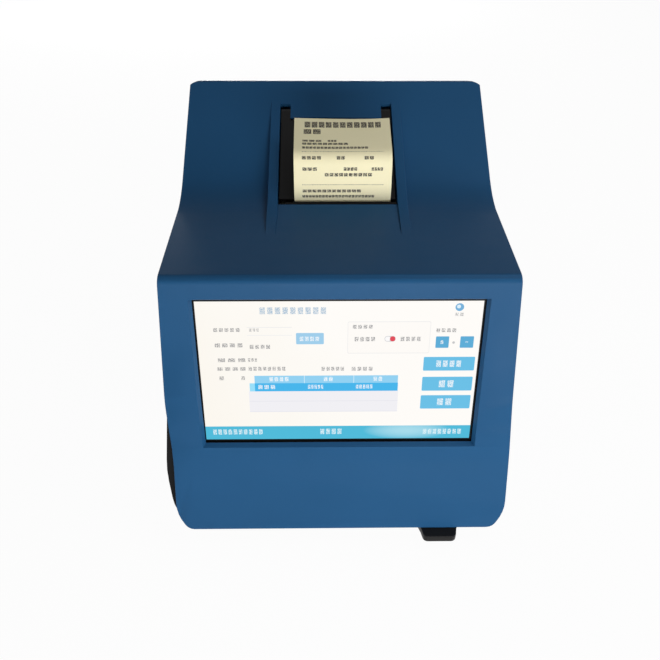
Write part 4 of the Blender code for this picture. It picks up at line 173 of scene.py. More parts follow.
class Value:
    """A number inside a material, so that sums on it are written as plain expressions."""

    def __init__(self, finish, socket):
        self.finish = finish
        self.socket = socket

    def sum(self, operation, first, second=0.0):
        node = self.finish.node("Math", {"operation": operation}, {0: first, 1: second})
        return Value(self.finish, node.outputs[0])

    def __add__(self, other):
        return self.sum("ADD", self, other)

    def __radd__(self, other):
        return self.sum("ADD", other, self)

    def __sub__(self, other):
        return self.sum("SUBTRACT", self, other)

    def __rsub__(self, other):
        return self.sum("SUBTRACT", other, self)

    def __mul__(self, other):
        return self.sum("MULTIPLY", self, other)

    def __gt__(self, other):
        return self.sum("GREATER_THAN", self, other)

    def __lt__(self, other):
        return self.sum("LESS_THAN", self, other)

    def absolute(self):
        return self.sum("ABSOLUTE", self)

    def largest(self, other):
        return self.sum("MAXIMUM", self, other)

    def smallest(self, other):
        return self.sum("MINIMUM", self, other)

    def fraction(self):
        return self.sum("FRACT", self)

    def between(self, low, high):
        """One where the number lies between two limits."""
        half = (high - low) / 2
        return (self - (low + half)).absolute() < half


class Finish:
    """A material whose nodes all come from one method."""

    def __init__(self, name, colour, roughness, metallic=0.0, specular=0.5):
        self.material = bpy.data.materials.new(name)
        self.material.use_nodes = True
        self.tree = self.material.node_tree
        self.shader = self.tree.nodes["Principled BSDF"]
        self.feed({
            "Base Color": (*colour, 1.0),
            "Roughness": roughness,
            "Metallic": metallic,
            "Specular IOR Level": specular,
        })

    def plug(self, node, sockets):
        for key, value in sockets.items():
            if isinstance(value, Value):
                value = value.socket
            if isinstance(value, bpy.types.NodeSocket):
                self.tree.links.new(value, node.inputs[key])
            else:
                node.inputs[key].default_value = value

    def node(self, kind, settings=None, sockets=None):
        """Node of one type: its settings are set first, then its sockets."""
        node = self.tree.nodes.new("ShaderNode" + kind)
        for key, value in (settings or {}).items():
            setattr(node, key, value)
        self.plug(node, sockets or {})
        return node

    def feed(self, sockets):
        self.plug(self.shader, sockets)

    def place(self):
        return self.node("TexCoord").outputs["Object"]

    def axes(self, vector):
        parts = self.node("SeparateXYZ", None, {"Vector": vector})
        return [Value(self, parts.outputs[axis]) for axis in "XYZ"]

    def stretched(self, vector, scale, turn=(0.0, 0.0, 0.0)):
        mapped = self.node("Mapping", None, {"Vector": vector, "Rotation": turn, "Scale": scale})
        return mapped.outputs["Vector"]

    def noise(self, vector, scale, detail=2.0, rough=0.5):
        made = self.node("TexNoise", None, {
            "Vector": vector, "Scale": scale, "Detail": detail, "Roughness": rough,
        })
        return Value(self, made.outputs["Fac"])

    def ramp(self, value, low, high):
        """Number spread from zero at low to one at high."""
        made = self.node("MapRange", {"clamp": True}, {
            "Value": value, "From Min": low, "From Max": high,
        })
        return Value(self, made.outputs["Result"])

    def mix(self, factor, first, second):
        """Colour between two colours."""
        made = self.node("Mix", {"data_type": "RGBA"})
        ends = [(*end, 1.0) if isinstance(end, tuple) else end for end in (first, second)]
        self.plug(made, {0: factor, 6: ends[0], 7: ends[1]})
        return made.outputs[2]

    def bump(self, height, strength, distance):
        made = self.node("Bump", None, {
            "Height": height, "Strength": strength, "Distance": distance,
        })
        self.feed({"Normal": made.outputs["Normal"]})


def shade(colour, factor):
    return tuple(min(part * factor, 1.0) for part in colour)


DRIFT_SCALE = 16.0
SPECK_SCALE = 900.0
SMEAR_SCALE = 38.0
SMEAR_STRETCH = (1.0, 2.4, 1.3)
SCUFF_SCALE = 24.0
SCUFF_STRETCH = (30.0, 3.0, 3.0)
FINE_GRAIN = 2400.0
COARSE_GRAIN = 1100.0
GRAIN_DEPTH = 0.00006


def moulded(name, colour, roughness, specular, grain=0.30, dust=0.03):
    """Satin moulding: fine eroded grain, slow colour drift, handling marks and thin dust."""
    finish = Finish(name, colour, roughness, 0.0, specular)
    place = finish.place()
    drift = finish.noise(place, DRIFT_SCALE, 3.0)
    tone = finish.mix(drift, shade(colour, 0.92), shade(colour, 1.08))
    specks = finish.ramp(finish.noise(place, SPECK_SCALE, 2.0, 0.7), 0.66, 0.80)
    dull = tuple(part + dust for part in colour)
    finish.feed({"Base Color": finish.mix(specks * 0.45, tone, dull)})
    smears = finish.noise(finish.stretched(place, SMEAR_STRETCH), SMEAR_SCALE, 4.0, 0.6)
    scratches = finish.noise(finish.stretched(place, SCUFF_STRETCH), SCUFF_SCALE, 3.0)
    scuffs = finish.ramp(scratches, 0.62, 0.72)
    finish.feed({"Roughness": smears * 0.14 + (roughness - 0.07) + scuffs * 0.03})
    fine = finish.noise(place, FINE_GRAIN, 2.0, 0.6)
    coarse = finish.noise(place, COARSE_GRAIN, 1.0)
    finish.bump(fine + coarse * 0.6, grain, GRAIN_DEPTH)
    return finish


MERGE_GAP = 0.00001
FLAT_ANGLE = math.radians(1.0)
EDGE_ANGLE = math.radians(40.0)
SMOOTH_ANGLE = math.radians(32.0)


def finished_copy(name, finish, edge=0.0, *, slot):
    """Copy of a CAD piece with joined facets, smooth curves and, where asked, rounded edges."""
    source = NODES[name]
    mesh = source.data.copy()
    mesh.materials.clear()
    piece = bpy.data.objects.new("fine_" + name, mesh)
    bpy.context.scene.collection.objects.link(piece)
    piece.matrix_world = source.matrix_world.copy()
    bpy.ops.object.select_all(action="DESELECT")
    piece.select_set(True)
    bpy.context.view_layer.objects.active = piece
    bpy.ops.object.transform_apply(location=True, rotation=True, scale=True)
    bpy.ops.mesh.customdata_custom_splitnormals_clear()
    bpy.ops.object.mode_set(mode="EDIT")
    bpy.ops.mesh.select_all(action="SELECT")
    bpy.ops.mesh.remove_doubles(threshold=MERGE_GAP)
    bpy.ops.mesh.normals_make_consistent(inside=False)
    bpy.ops.mesh.dissolve_limited(angle_limit=FLAT_ANGLE)
    bpy.ops.object.mode_set(mode="OBJECT")
    if edge > 0.0:
        soft = piece.modifiers.new("edges", "BEVEL")
        soft.width = edge
        soft.segments = 2
        soft.limit_method = "ANGLE"
        soft.angle_limit = EDGE_ANGLE
        soft.use_clamp_overlap = True
        bpy.ops.object.modifier_apply(modifier=soft.name)
    bpy.ops.object.shade_smooth_by_angle(angle=SMOOTH_ANGLE)
    even = piece.modifiers.new("even_normals", "WEIGHTED_NORMAL")
    even.keep_sharp = True
    bpy.ops.object.modifier_apply(modifier=even.name)
    mesh.materials.append(finish.material)
    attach(piece, source["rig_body"])
    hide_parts(name)
    return piece


def share_of(value, start, end):
    """Share of the way from start to end, kept between zero and one."""
    return min(max((value - start) / (end - start), 0.0), 1.0)


BLUE = (0.0150, 0.0765, 0.180)
blue_finish = moulded("blue_moulding", BLUE, 0.42, 0.07)
upper_shell = finished_copy("upper_shell", blue_finish, slot="blue_plastic")

# The skirt beside the lower part of the face narrows at the left and swells a little at the right.
SKIRT_HIGH = 0.112
SKIRT_FULL = 0.062
SKIRT_SIDE = (0.075, 0.095)
SKIRT_REAR = (-0.066, -0.080)
SKIRT_DRAW = 0.0030
SKIRT_SWELL = 0.0008
HEIGHT_CUTS = 5
DEPTH_CUTS = 3
CUT_GAP = 0.000001
# The window's sides stand a little closer to the lit area than in the solid.
WINDOW_SIDE = (0.0772, 0.0814)
WINDOW_RISE = (0.055, 0.175)
WINDOW_FOOT = -0.09877
WINDOW_LEAN = 0.17456
WINDOW_DEPTH = 0.004
WINDOW_TRIM = (0.0008, 0.0012)
shell = bmesh.new()
shell.from_mesh(upper_shell.data)
cuts = []
for step in range(HEIGHT_CUTS):
    height = SKIRT_FULL + (SKIRT_HIGH - SKIRT_FULL) * step / (HEIGHT_CUTS - 1)
    cuts.append(((0.0, 0.0, height), (0.0, 0.0, 1.0)))
for step in range(DEPTH_CUTS):
    depth = SKIRT_REAR[0] + (SKIRT_REAR[1] - SKIRT_REAR[0]) * step / (DEPTH_CUTS - 1)
    cuts.append(((0.0, depth, 0.0), (0.0, 1.0, 0.0)))
for place, normal in cuts:
    bmesh.ops.bisect_plane(
        shell, geom=[*shell.verts, *shell.edges, *shell.faces], plane_co=place, plane_no=normal,
        dist=CUT_GAP,
    )
for vertex in shell.verts:
    drop = share_of(vertex.co.z, SKIRT_HIGH, SKIRT_FULL)
    outward = share_of(abs(vertex.co.x), *SKIRT_SIDE)
    forward = share_of(vertex.co.y, *SKIRT_REAR)
    most = SKIRT_DRAW if vertex.co.x < 0.0 else SKIRT_SWELL
    vertex.co.x += most * drop * drop * (3 - drop * 2) * outward * forward
    behind_face = vertex.co.y - (WINDOW_FOOT + WINDOW_LEAN * vertex.co.z)
    if WINDOW_RISE[0] < vertex.co.z < WINDOW_RISE[1] and abs(behind_face) < WINDOW_DEPTH:
        if WINDOW_SIDE[0] < vertex.co.x < WINDOW_SIDE[1]:
            vertex.co.x -= WINDOW_TRIM[1]
        if WINDOW_SIDE[0] < -vertex.co.x < WINDOW_SIDE[1]:
            vertex.co.x += WINDOW_TRIM[0]
shell.to_mesh(upper_shell.data)
shell.free()

# Base shell
# Black tub in the same satin plastic, with a slightly coarser grain that hides scratches.
# The upper shell closes on it, and two screws through its floor pull the halves together.
# Its left front corner, from above the sole up, reaches forward to close up behind the skirt.
BLACK = (0.0052, 0.0052, 0.0056)
BASE_FRONT_FOOT = -0.08825
BASE_FRONT_LEAN = 0.1746
BASE_REACH = 0.005
BASE_SOLE = 0.021
base_finish = moulded("base_moulding", BLACK, 0.52, 0.09, 0.42, 0.004)
base_shell = finished_copy("base_shell", base_finish, slot="black_plastic")
for vertex in base_shell.data.vertices:
    in_corner = vertex.co.x < -SKIRT_SIDE[0] and vertex.co.z > BASE_SOLE
    if in_corner and vertex.co.y < BASE_FRONT_FOOT + BASE_FRONT_LEAN * vertex.co.z:
        vertex.co.y -= BASE_REACH

# Feet
# Four turned rubber feet, pushed into holes in the base by their stems.
RUBBER = (0.016, 0.016, 0.017)


def rubber(name, colour, roughness):
    """Dull rubber with a fine chalky bloom."""
    finish = Finish(name, colour, roughness, 0.0, 0.25)
    place = finish.place()
    bloom = finish.ramp(finish.noise(place, 260.0, 4.0, 0.65), 0.45, 0.75)
    dusty = tuple(part + 0.02 for part in colour)
    finish.feed({"Base Color": finish.mix(bloom * 0.5, colour, dusty)})
    finish.feed({"Roughness": roughness - 0.05 + finish.noise(place, 90.0, 2.0) * 0.1})
    finish.bump(finish.noise(place, 3000.0, 2.0, 0.6), 0.35, 0.00005)
    return finish


rubber_finish = rubber("foot_rubber", RUBBER, 0.82)
FOOT_COUNT = 4
for index in range(1, FOOT_COUNT + 1):
    finished_copy(f"foot_{index}", rubber_finish, 0.0004, slot="black_rubber")

# Case screws
# Two long pan head screws with a cross recess, driven up through the base into the upper shell.
SCREW_STEEL = (0.40, 0.40, 0.40)


def metal(name, colour, roughness, stretch=(1.0, 1.0, 1.0), scratch=0.12):
    """Plated or brushed metal: drawn lines, cloudy sheen and small stains."""
    finish = Finish(name, colour, roughness, 1.0)
    place = finish.place()
    lines = finish.noise(finish.stretched(place, stretch), 420.0, 3.0, 0.6)
    clouds = finish.noise(place, 55.0, 3.0)
    finish.feed({"Base Color": finish.mix(clouds, shade(colour, 0.86), shade(colour, 1.08))})
    stains = finish.ramp(clouds, 0.5, 0.8)
    finish.feed({"Roughness": lines * 0.16 + (roughness - 0.08) + stains * 0.06})
    finish.bump(lines, scratch, 0.00003)
    return finish


screw_finish = metal("screw_steel", SCREW_STEEL, 0.32, (1.0, 1.0, 5.0))
for name in ("case_screw_left", "case_screw_right"):
    finished_copy(name, screw_finish, 0.0001, slot="steel")

# Touch screen
# Coated glass behind the window of the face, clamped over a foam gasket by a sheet metal bracket.
# Its lit picture is drawn with plain marks for words, in shares of the lit area's width and height.
LIT_LEFT = -0.07795
LIT_WIDTH = 0.1553
LIT_HEIGHT = 0.0901
LIT_TOP = 0.1562
FACE_LEAN = math.atan2(0.0295, 0.169)
FACE_FOOT = (-0.0965, 0.013)
LIT_ASPECT = LIT_HEIGHT / LIT_WIDTH
WARM_WHITE = (0.950, 0.912, 0.840)
LIT_WHITE = (0.975, 0.950, 0.915)
LABEL_INK = (0.27, 0.27, 0.28)
SOFT_INK = (0.46, 0.46, 0.46)
TITLE_BLUE = (0.30, 0.46, 0.62)
BUTTON_BLUE = (0.130, 0.510, 0.775)
KEY_BLUE = (0.095, 0.400, 0.660)
FIELD_BLUE = (0.330, 0.600, 0.815)
HEADER_BLUE = (0.275, 0.625, 0.870)
ROW_BLUE = (0.048, 0.450, 0.815)
STATUS_BLUE = (0.064, 0.480, 0.680)
RED = (0.74, 0.055, 0.085)
PALE_GREY = (0.80, 0.80, 0.80)
PALE_CELL = (0.70, 0.87, 0.96)
FIELD_MARK = (0.90, 0.94, 0.97)
TABLE_MARK = (0.95, 0.97, 0.98)
BUTTON_MARK = (0.93, 0.96, 0.97)
STATUS_MARK = (0.80, 0.92, 0.95)
# Colour of the painted highlight on the right of the status bar.
STATUS_PAINTED_HIGHLIGHT = (0.62, 0.88, 0.93)
STATUS_TOP = 0.898
GLASS_BLACK = (0.004, 0.004, 0.005)
GLASS_HAZE = (0.007, 0.007, 0.008)
STROKES = (1900.0, 1.0, 1700.0)
WORD_GAP = (0.10, 0.80)

screen_finish = Finish("lit_screen", GLASS_BLACK, 0.12, 0.0, 0.14)
screen_place = screen_finish.place()
screen_x, screen_y, screen_z = screen_finish.axes(screen_place)
back_share = (screen_y - FACE_FOOT[0]) * math.sin(FACE_LEAN)
along_face = back_share + (screen_z - FACE_FOOT[1]) * math.cos(FACE_LEAN)
across = (screen_x - LIT_LEFT) * (1 / LIT_WIDTH)
down = (LIT_TOP - along_face) * (1 / LIT_HEIGHT)
strokes = screen_finish.noise(screen_finish.stretched(screen_place, STROKES), 1.0, 1.0)
stroke_mask = screen_finish.ramp(strokes, 0.40, 0.56) * 0.80 + 0.12
clouds = screen_finish.noise(screen_place, 22.0, 2.0)
warmth = screen_finish.ramp(across * 1.2 - down * 0.35 + clouds * 0.5, 0.0, 0.75)
picture = screen_finish.mix(warmth, WARM_WHITE, LIT_WHITE)


def area(left, right, top, bottom):
    """Mask of a box on the lit area."""
    return across.between(left, right) * down.between(top, bottom)


def soft_area(left, right, top, bottom, radius):
    """Mask of a box with rounded corners, the radius in shares of the width."""
    off_x = ((across - (left + right) / 2).absolute() - ((right - left) / 2 - radius)).largest(0.0)
    half = (bottom - top) / 2 * LIT_ASPECT
    off_y = ((down - (top + bottom) / 2).absolute() * LIT_ASPECT - (half - radius)).largest(0.0)
    return (off_x * off_x + off_y * off_y) < radius * radius


def disc(middle, row, radius):
    """Mask of a disc, its radius in shares of the width."""
    off_x = across - middle
    off_y = (down - row) * LIT_ASPECT
    return (off_x * off_x + off_y * off_y) < radius * radius


# Each panel has its left, right, top, bottom, corner radius and colour.
PANELS = (
    (0.171, 0.719, 0.630, 0.787, 0.0, (0.860, 0.850, 0.885)),
    (0.171, 0.719, 0.702, 0.707, 0.0, (0.790, 0.785, 0.840)),
    (0.171, 0.719, 0.781, 0.787, 0.0, (0.800, 0.795, 0.845)),
    (0.194, 0.716, 0.515, 0.570, 0.0, HEADER_BLUE),
    (0.374, 0.376, 0.515, 0.570, 0.0, PALE_CELL),
    (0.554, 0.556, 0.515, 0.570, 0.0, PALE_CELL),
    (0.175, 0.717, 0.570, 0.630, 0.0, ROW_BLUE),
    (0.175, 0.194, 0.570, 0.630, 0.0, (0.30, 0.72, 0.93)),
    (0.176, 0.334, 0.172, 0.176, 0.0, (0.82, 0.82, 0.82)),
    (0.176, 0.334, 0.226, 0.230, 0.0, (0.85, 0.85, 0.85)),
    (0.348, 0.446, 0.213, 0.291, 0.004, FIELD_BLUE),
    (0.530, 0.822, 0.137, 0.357, 0.006, PALE_GREY),
    (0.5315, 0.8205, 0.1405, 0.3535, 0.005, (0.970, 0.940, 0.905)),
    (0.843, 0.890, 0.240, 0.320, 0.003, KEY_BLUE),
    (0.930, 0.978, 0.240, 0.320, 0.003, KEY_BLUE),
    (0.805, 0.990, 0.384, 0.483, 0.004, BUTTON_BLUE),
    (0.805, 0.989, 0.528, 0.631, 0.004, BUTTON_BLUE),
    (0.804, 0.989, 0.665, 0.767, 0.004, BUTTON_BLUE),
    (0.661, 0.700, 0.236, 0.275, 0.010, (0.62, 0.62, 0.64)),
    (0.663, 0.682, 0.240, 0.271, 0.008, (0.95, 0.94, 0.94)),
    (0.680, 0.699, 0.238, 0.273, 0.009, RED),
    (0.0, 1.0, STATUS_TOP, 1.0, 0.0, STATUS_BLUE),
)
for left, right, top, bottom, radius, colour in PANELS:
    mask = soft_area(left, right, top, bottom, radius) if radius else area(left, right, top, bottom)
    picture = screen_finish.mix(mask, picture, colour)
# Painted highlight: a soft lighter disc mixed into the picture at the right of the status bar.
highlight_x = (across - 0.76) * 6.0
highlight_y = (down - 0.935) * 14.0
painted_highlight = screen_finish.ramp(highlight_x * highlight_x + highlight_y * highlight_y, 1.0, 0.0) * 0.55
picture = screen_finish.mix(painted_highlight * area(0.0, 1.0, STATUS_TOP, 1.0), picture, STATUS_PAINTED_HIGHLIGHT)
DISCS = (
    (0.917, 0.042, 0.0150, (0.16, 0.42, 0.68)),
    (0.914, 0.038, 0.0070, (0.72, 0.86, 0.95)),
    (0.907, 0.283, 0.0050, (0.55, 0.55, 0.56)),
)
for middle, row, radius, colour in DISCS:
    picture = screen_finish.mix(disc(middle, row, radius), picture, colour)
# Each word has its left, right, top, bottom, count of marks and colour.
WORDS = (
    (0.221, 0.459, 0.040, 0.085, 9, TITLE_BLUE),
    (0.901, 0.936, 0.079, 0.102, 2, SOFT_INK),
    (0.057, 0.155, 0.178, 0.204, 5, LABEL_INK), (0.183, 0.220, 0.181, 0.202, 3, SOFT_INK),
    (0.057, 0.163, 0.283, 0.311, 4, LABEL_INK), (0.181, 0.259, 0.294, 0.322, 4, LABEL_INK),
    (0.063, 0.172, 0.388, 0.415, 3, LABEL_INK), (0.173, 0.209, 0.388, 0.413, 3, LABEL_INK),
    (0.060, 0.169, 0.452, 0.477, 4, LABEL_INK), (0.173, 0.311, 0.450, 0.478, 8, LABEL_INK),
    (0.436, 0.522, 0.452, 0.480, 5, LABEL_INK), (0.545, 0.626, 0.453, 0.481, 4, LABEL_INK),
    (0.065, 0.088, 0.518, 0.546, 1, LABEL_INK), (0.145, 0.163, 0.518, 0.546, 1, LABEL_INK),
    (0.359, 0.433, 0.238, 0.269, 4, FIELD_MARK),
    (0.546, 0.621, 0.159, 0.185, 4, LABEL_INK),
    (0.553, 0.631, 0.242, 0.272, 4, LABEL_INK), (0.716, 0.793, 0.242, 0.272, 4, LABEL_INK),
    (0.840, 0.916, 0.185, 0.211, 4, LABEL_INK),
    (0.246, 0.321, 0.525, 0.556, 4, TABLE_MARK),
    (0.444, 0.482, 0.525, 0.556, 2, TABLE_MARK),
    (0.625, 0.662, 0.525, 0.556, 2, TABLE_MARK),
    (0.204, 0.272, 0.583, 0.613, 3, TABLE_MARK),
    (0.387, 0.446, 0.583, 0.613, 5, TABLE_MARK),
    (0.562, 0.626, 0.583, 0.613, 5, TABLE_MARK),
    (0.849, 0.946, 0.410, 0.456, 4, BUTTON_MARK),
    (0.864, 0.927, 0.554, 0.605, 2, BUTTON_MARK),
    (0.863, 0.925, 0.690, 0.741, 2, BUTTON_MARK),
    (0.859, 0.873, 0.268, 0.292, 1, BUTTON_MARK),
    (0.947, 0.961, 0.275, 0.285, 1, (0.60, 0.78, 0.90)),
    (0.026, 0.218, 0.922, 0.962, 10, STATUS_MARK),
    (0.430, 0.517, 0.920, 0.963, 4, STATUS_MARK),
    (0.820, 0.970, 0.926, 0.966, 8, STATUS_MARK),
)
for left, right, top, bottom, count, colour in WORDS:
    cell = ((across - left) * (count / (right - left))).fraction()
    marks = area(left, right, top, bottom) * cell.between(*WORD_GAP) * stroke_mask
    picture = screen_finish.mix(marks, picture, colour)
lit = area(0.0, 1.0, 0.0, 1.0)
screen_finish.feed({
    "Emission Color": screen_finish.mix(lit, (0.0, 0.0, 0.0), picture),
    "Base Color": screen_finish.mix(clouds, GLASS_BLACK, GLASS_HAZE),
    "Emission Strength": 1.0,
    "Roughness": screen_finish.noise(screen_place, 30.0, 4.0, 0.6) * 0.10 + 0.10,
})
finished_copy("touch_panel", screen_finish, slot="screen_glass")

gasket_finish = rubber("gasket_foam", (0.012, 0.012, 0.013), 0.92)
finished_copy("display_gasket", gasket_finish, slot="black_rubber")

# Display stack
# Screen module, folded sheet bracket and the driver board, held to four bosses by small screws.
# The module's case and the bracket are zinc plated, and the board is green glass epoxy.
STEEL = (0.46, 0.46, 0.45)
plated_finish = metal("plated_sheet", STEEL, 0.36, (0.2, 6.0, 6.0))
for name in ("screen_module", "display_bracket"):
    finished_copy(name, plated_finish, slot="steel")
DISPLAY_SCREW_COUNT = 4
for index in range(1, DISPLAY_SCREW_COUNT + 1):
    finished_copy(f"display_screw_{index}", screw_finish, slot="steel")
GREEN = (0.012, 0.105, 0.042)
TIN = (0.52, 0.53, 0.50)


def board(name):
    """Solder mask over copper tracks, with tinned pads and small dark parts."""
    finish = Finish(name, GREEN, 0.42)
    place = finish.place()
    tracks = finish.node("TexBrick", {"offset": 0.35, "squash": 0.6}, {
        "Vector": finish.stretched(place, (1.0, 1.0, 1.0), (0.35, 0.2, 0.7)),
        "Scale": 120.0, "Mortar Size": 0.06, "Brick Width": 0.9, "Row Height": 0.22,
    })
    track = Value(finish, tracks.outputs["Fac"])
    cells = finish.node("TexVoronoi", {"feature": "DISTANCE_TO_EDGE"}, {
        "Vector": place, "Scale": 260.0,
    })
    pads = finish.ramp(Value(finish, cells.outputs["Distance"]), 0.34, 0.38)
    tone = finish.mix(track, shade(GREEN, 0.8), shade(GREEN, 1.7))
    finish.feed({"Base Color": finish.mix(pads, tone, TIN), "Metallic": pads * 0.8})
    finish.feed({"Roughness": 0.42 - pads * 0.12 + finish.noise(place, 60.0, 2.0) * 0.05})
    finish.bump(track * 0.4 + pads, 0.5, 0.00008)
    return finish


board_finish = board("circuit_board")
finished_copy("display_board", board_finish, slot="circuit_board")

# Printer frame and gear cover
# Black moulding with the paper bucket, screwed to the upper shell from below, over it the lid.
# A thin cover on its left end keeps paper dust out of the gears.
printer_finish = moulded("printer_moulding", (0.0046, 0.0044, 0.0048), 0.44, 0.07, 0.22, 0.004)
finished_copy("printer_frame", printer_finish, slot="black_plastic")
finished_copy("gear_cover", printer_finish, 0.0002, slot="black_plastic")

# Printer lid
# Glossier black moulding with two arms that turn on a steel pin at the rear of the printer.
# It carries the platen, so that opening it frees the paper path.
lid_finish = moulded("lid_moulding", (0.0048, 0.0046, 0.0050), 0.36, 0.08, 0.14, 0.004)
finished_copy("printer_lid", lid_finish, 0.0003, slot="black_plastic")
pin_finish = metal("ground_pin", STEEL, 0.22, (0.4, 5.0, 5.0))
finished_copy("hinge_pin", pin_finish, 0.0002, slot="steel")

# Tear bar
# Thin stainless strip with fine teeth, slipped into the front wall of the printer.
finished_copy("tear_bar", pin_finish, slot="steel")

# Platen and its gear train
# Rubber roller on a steel shaft in the lid, driven over an idler by the pinion of a small motor.
# The gears are unfilled acetal, the pinion is brass.
platen_finish = rubber("platen_rubber", (0.020, 0.020, 0.021), 0.70)
finished_copy("platen_roller", platen_finish, 0.0002, slot="black_rubber")
finished_copy("platen_shaft", pin_finish, 0.0001, slot="steel")
gear_finish = moulded("acetal", (0.42, 0.42, 0.38), 0.42, 0.45, 0.12, 0.02)
for name in ("platen_gear", "idler_gear"):
    finished_copy(name, gear_finish, slot="grey_plastic")
motor_finish = metal("motor_can", (0.50, 0.50, 0.48), 0.28, (0.3, 4.0, 4.0))
finished_copy("feed_motor", motor_finish, 0.0002, slot="steel")
brass_finish = metal("machined_brass", (0.56, 0.38, 0.14), 0.28, (1.0, 3.0, 3.0))
finished_copy("motor_pinion", brass_finish, slot="brass")

# Thermal head
# Ceramic print line on an aluminium plate, pressed to the platen by two coil springs.
head_finish = metal("head_plate", (0.42, 0.42, 0.43), 0.38, (0.2, 8.0, 8.0))
finished_copy("thermal_head", head_finish, slot="steel")
for name in ("head_spring_left", "head_spring_right"):
    finished_copy(name, pin_finish, slot="steel")

# Paper roll
# Thermal paper wound on a cardboard core, loose in the bucket of the printer.
PAPER = (0.94, 0.870, 0.580)


def paper(name, colour):
    """Smooth coated paper with faint fibres and slow waves."""
    finish = Finish(name, colour, 0.62, 0.0, 0.12)
    place = finish.place()
    fibres = finish.noise(finish.stretched(place, (1.0, 3.0, 1.5)), 700.0, 4.0, 0.7)
    finish.feed({"Base Color": finish.mix(fibres, shade(colour, 0.965), shade(colour, 1.03))})
    finish.feed({"Roughness": finish.noise(place, 120.0, 2.0) * 0.1 + 0.56})
    waves = finish.noise(place, 60.0, 1.0)
    finish.bump(fibres * 0.3 + waves, 0.25, 0.00012)
    return finish


def wound(name, colour, pitch, roughness):
    """Wound sheet: fine turns show as rings on its ends."""
    finish = Finish(name, colour, roughness, 0.0, 0.2)
    place = finish.place()
    fibres = finish.noise(finish.stretched(place, (0.4, 3.0, 3.0)), 900.0, 3.0, 0.7)
    turns = finish.noise(finish.stretched(place, (0.2, 1.0, 1.0)), pitch, 2.0, 0.7)
    finish.feed({"Base Color": finish.mix(turns, shade(colour, 0.84), shade(colour, 1.05))})
    finish.feed({"Roughness": roughness - 0.04 + fibres * 0.08})
    finish.bump(turns + fibres * 0.4, 0.4, 0.00008)
    return finish


CARDBOARD = (0.36, 0.25, 0.14)
roll_finish = wound("wound_paper", PAPER, 2600.0, 0.66)
finished_copy("paper_roll", roll_finish, 0.0002, slot="thermal_paper")
core_finish = wound("wound_board", CARDBOARD, 500.0, 0.86)
finished_copy("roll_core", core_finish, slot="cardboard")

# Printed slip
# Strip of the same paper that leaves the slot, stands up and curls back over the lid.
# Thermal print is on its face only, drawn as plain marks; the back stays bare.
SLOT_PLACE = Vector((0.0, 0.0080, 0.1849))
PRINTER_SLOPE = math.radians(24.7)
SLIP_LEFT = -0.02575
SLIP_WIDTH = 0.0575
SLIP_THICKNESS = 0.0002
NIP = Vector((0.0031, -0.0120))
MOUTH = Vector((0.0031, 0.0006))
CURVE_POINTS = 17
GRID_ACROSS = 24
GRID_ALONG = 72
BOW = 0.0009
BOW_REST = 0.4
BOW_START = 0.45
RIPPLE = 0.00022
RIPPLE_START = 0.3


def in_printer(back, rise):
    """Place behind and above the slot, turned into the printer's own axes."""
    return Vector((
        back * math.cos(PRINTER_SLOPE) + rise * math.sin(PRINTER_SLOPE),
        rise * math.cos(PRINTER_SLOPE) - back * math.sin(PRINTER_SLOPE),
    ))


standing = in_printer(MOUTH.x * math.cos(PRINTER_SLOPE), 0.0200)
crest = in_printer(0.0110, 0.0305)
tip = in_printer(0.0365, 0.0386)
upright = in_printer(0.0, 0.0100)
level = (tip - crest) / 4
mouth_reach = MOUTH + (MOUTH - NIP) / 2
leaving = interpolate_bezier(MOUTH, mouth_reach, standing - upright / 2, standing, CURVE_POINTS)
rising = interpolate_bezier(standing, standing + upright / 2, crest - level, crest, CURVE_POINTS)
falling = interpolate_bezier(crest, crest + level, tip - level, tip, CURVE_POINTS)
line = [NIP] + [Vector(p) for p in (*leaving, *rising[1:], *falling[1:])]
reach = [0.0]
for before, after in zip(line, line[1:]):
    reach.append(reach[-1] + (after - before).length)
SLIP_LENGTH = reach[-1]


def on_line(length):
    """Place on the slip's middle line at a distance from the nip, and its direction there."""
    index = min(max(bisect.bisect_right(reach, length) - 1, 0), len(line) - 2)
    share = (length - reach[index]) / (reach[index + 1] - reach[index])
    return line[index].lerp(line[index + 1], share), (line[index + 1] - line[index]).normalized()


bpy.ops.object.select_all(action="DESELECT")
bpy.ops.mesh.primitive_grid_add(x_subdivisions=GRID_ACROSS, y_subdivisions=GRID_ALONG, size=1.0)
slip = bpy.context.object
slip.name = "printed_slip"
slip.data.uv_layers[0].name = "print"
for vertex in slip.data.vertices:
    side = vertex.co.x * 2
    share = vertex.co.y + 0.5
    place, way = on_line(share * SLIP_LENGTH)
    bow = BOW * (side * side - BOW_REST) * max(share - BOW_START, 0.0) / (1 - BOW_START)
    ripple = RIPPLE * math.sin(side * 3.1 + share * 9.0) * max(share - RIPPLE_START, 0.0)
    spot = place + Vector((-way.y, way.x)) * (bow + ripple)
    vertex.co = SLOT_PLACE + Vector((
        SLIP_LEFT + SLIP_WIDTH * (vertex.co.x + 0.5),
        spot.x * math.cos(PRINTER_SLOPE) - spot.y * math.sin(PRINTER_SLOPE),
        spot.x * math.sin(PRINTER_SLOPE) + spot.y * math.cos(PRINTER_SLOPE),
    ))

print_finish = paper("printed_paper", PAPER)
slip_place = print_finish.node("UVMap", {"uv_map": "print"}).outputs["UV"]
slip_u, slip_v, _ = print_finish.axes(slip_place)
slip_mm = slip_v * (SLIP_LENGTH * 1000)
TYPE_STROKES = (110.0, 120.0, 1.0)
INK = (0.022, 0.018, 0.024)
INK_COVER = 0.94
type_marks = print_finish.noise(print_finish.stretched(slip_place, TYPE_STROKES), 1.0, 1.0)
print_mask = print_finish.ramp(type_marks, 0.39, 0.47) * 0.70 + 0.30
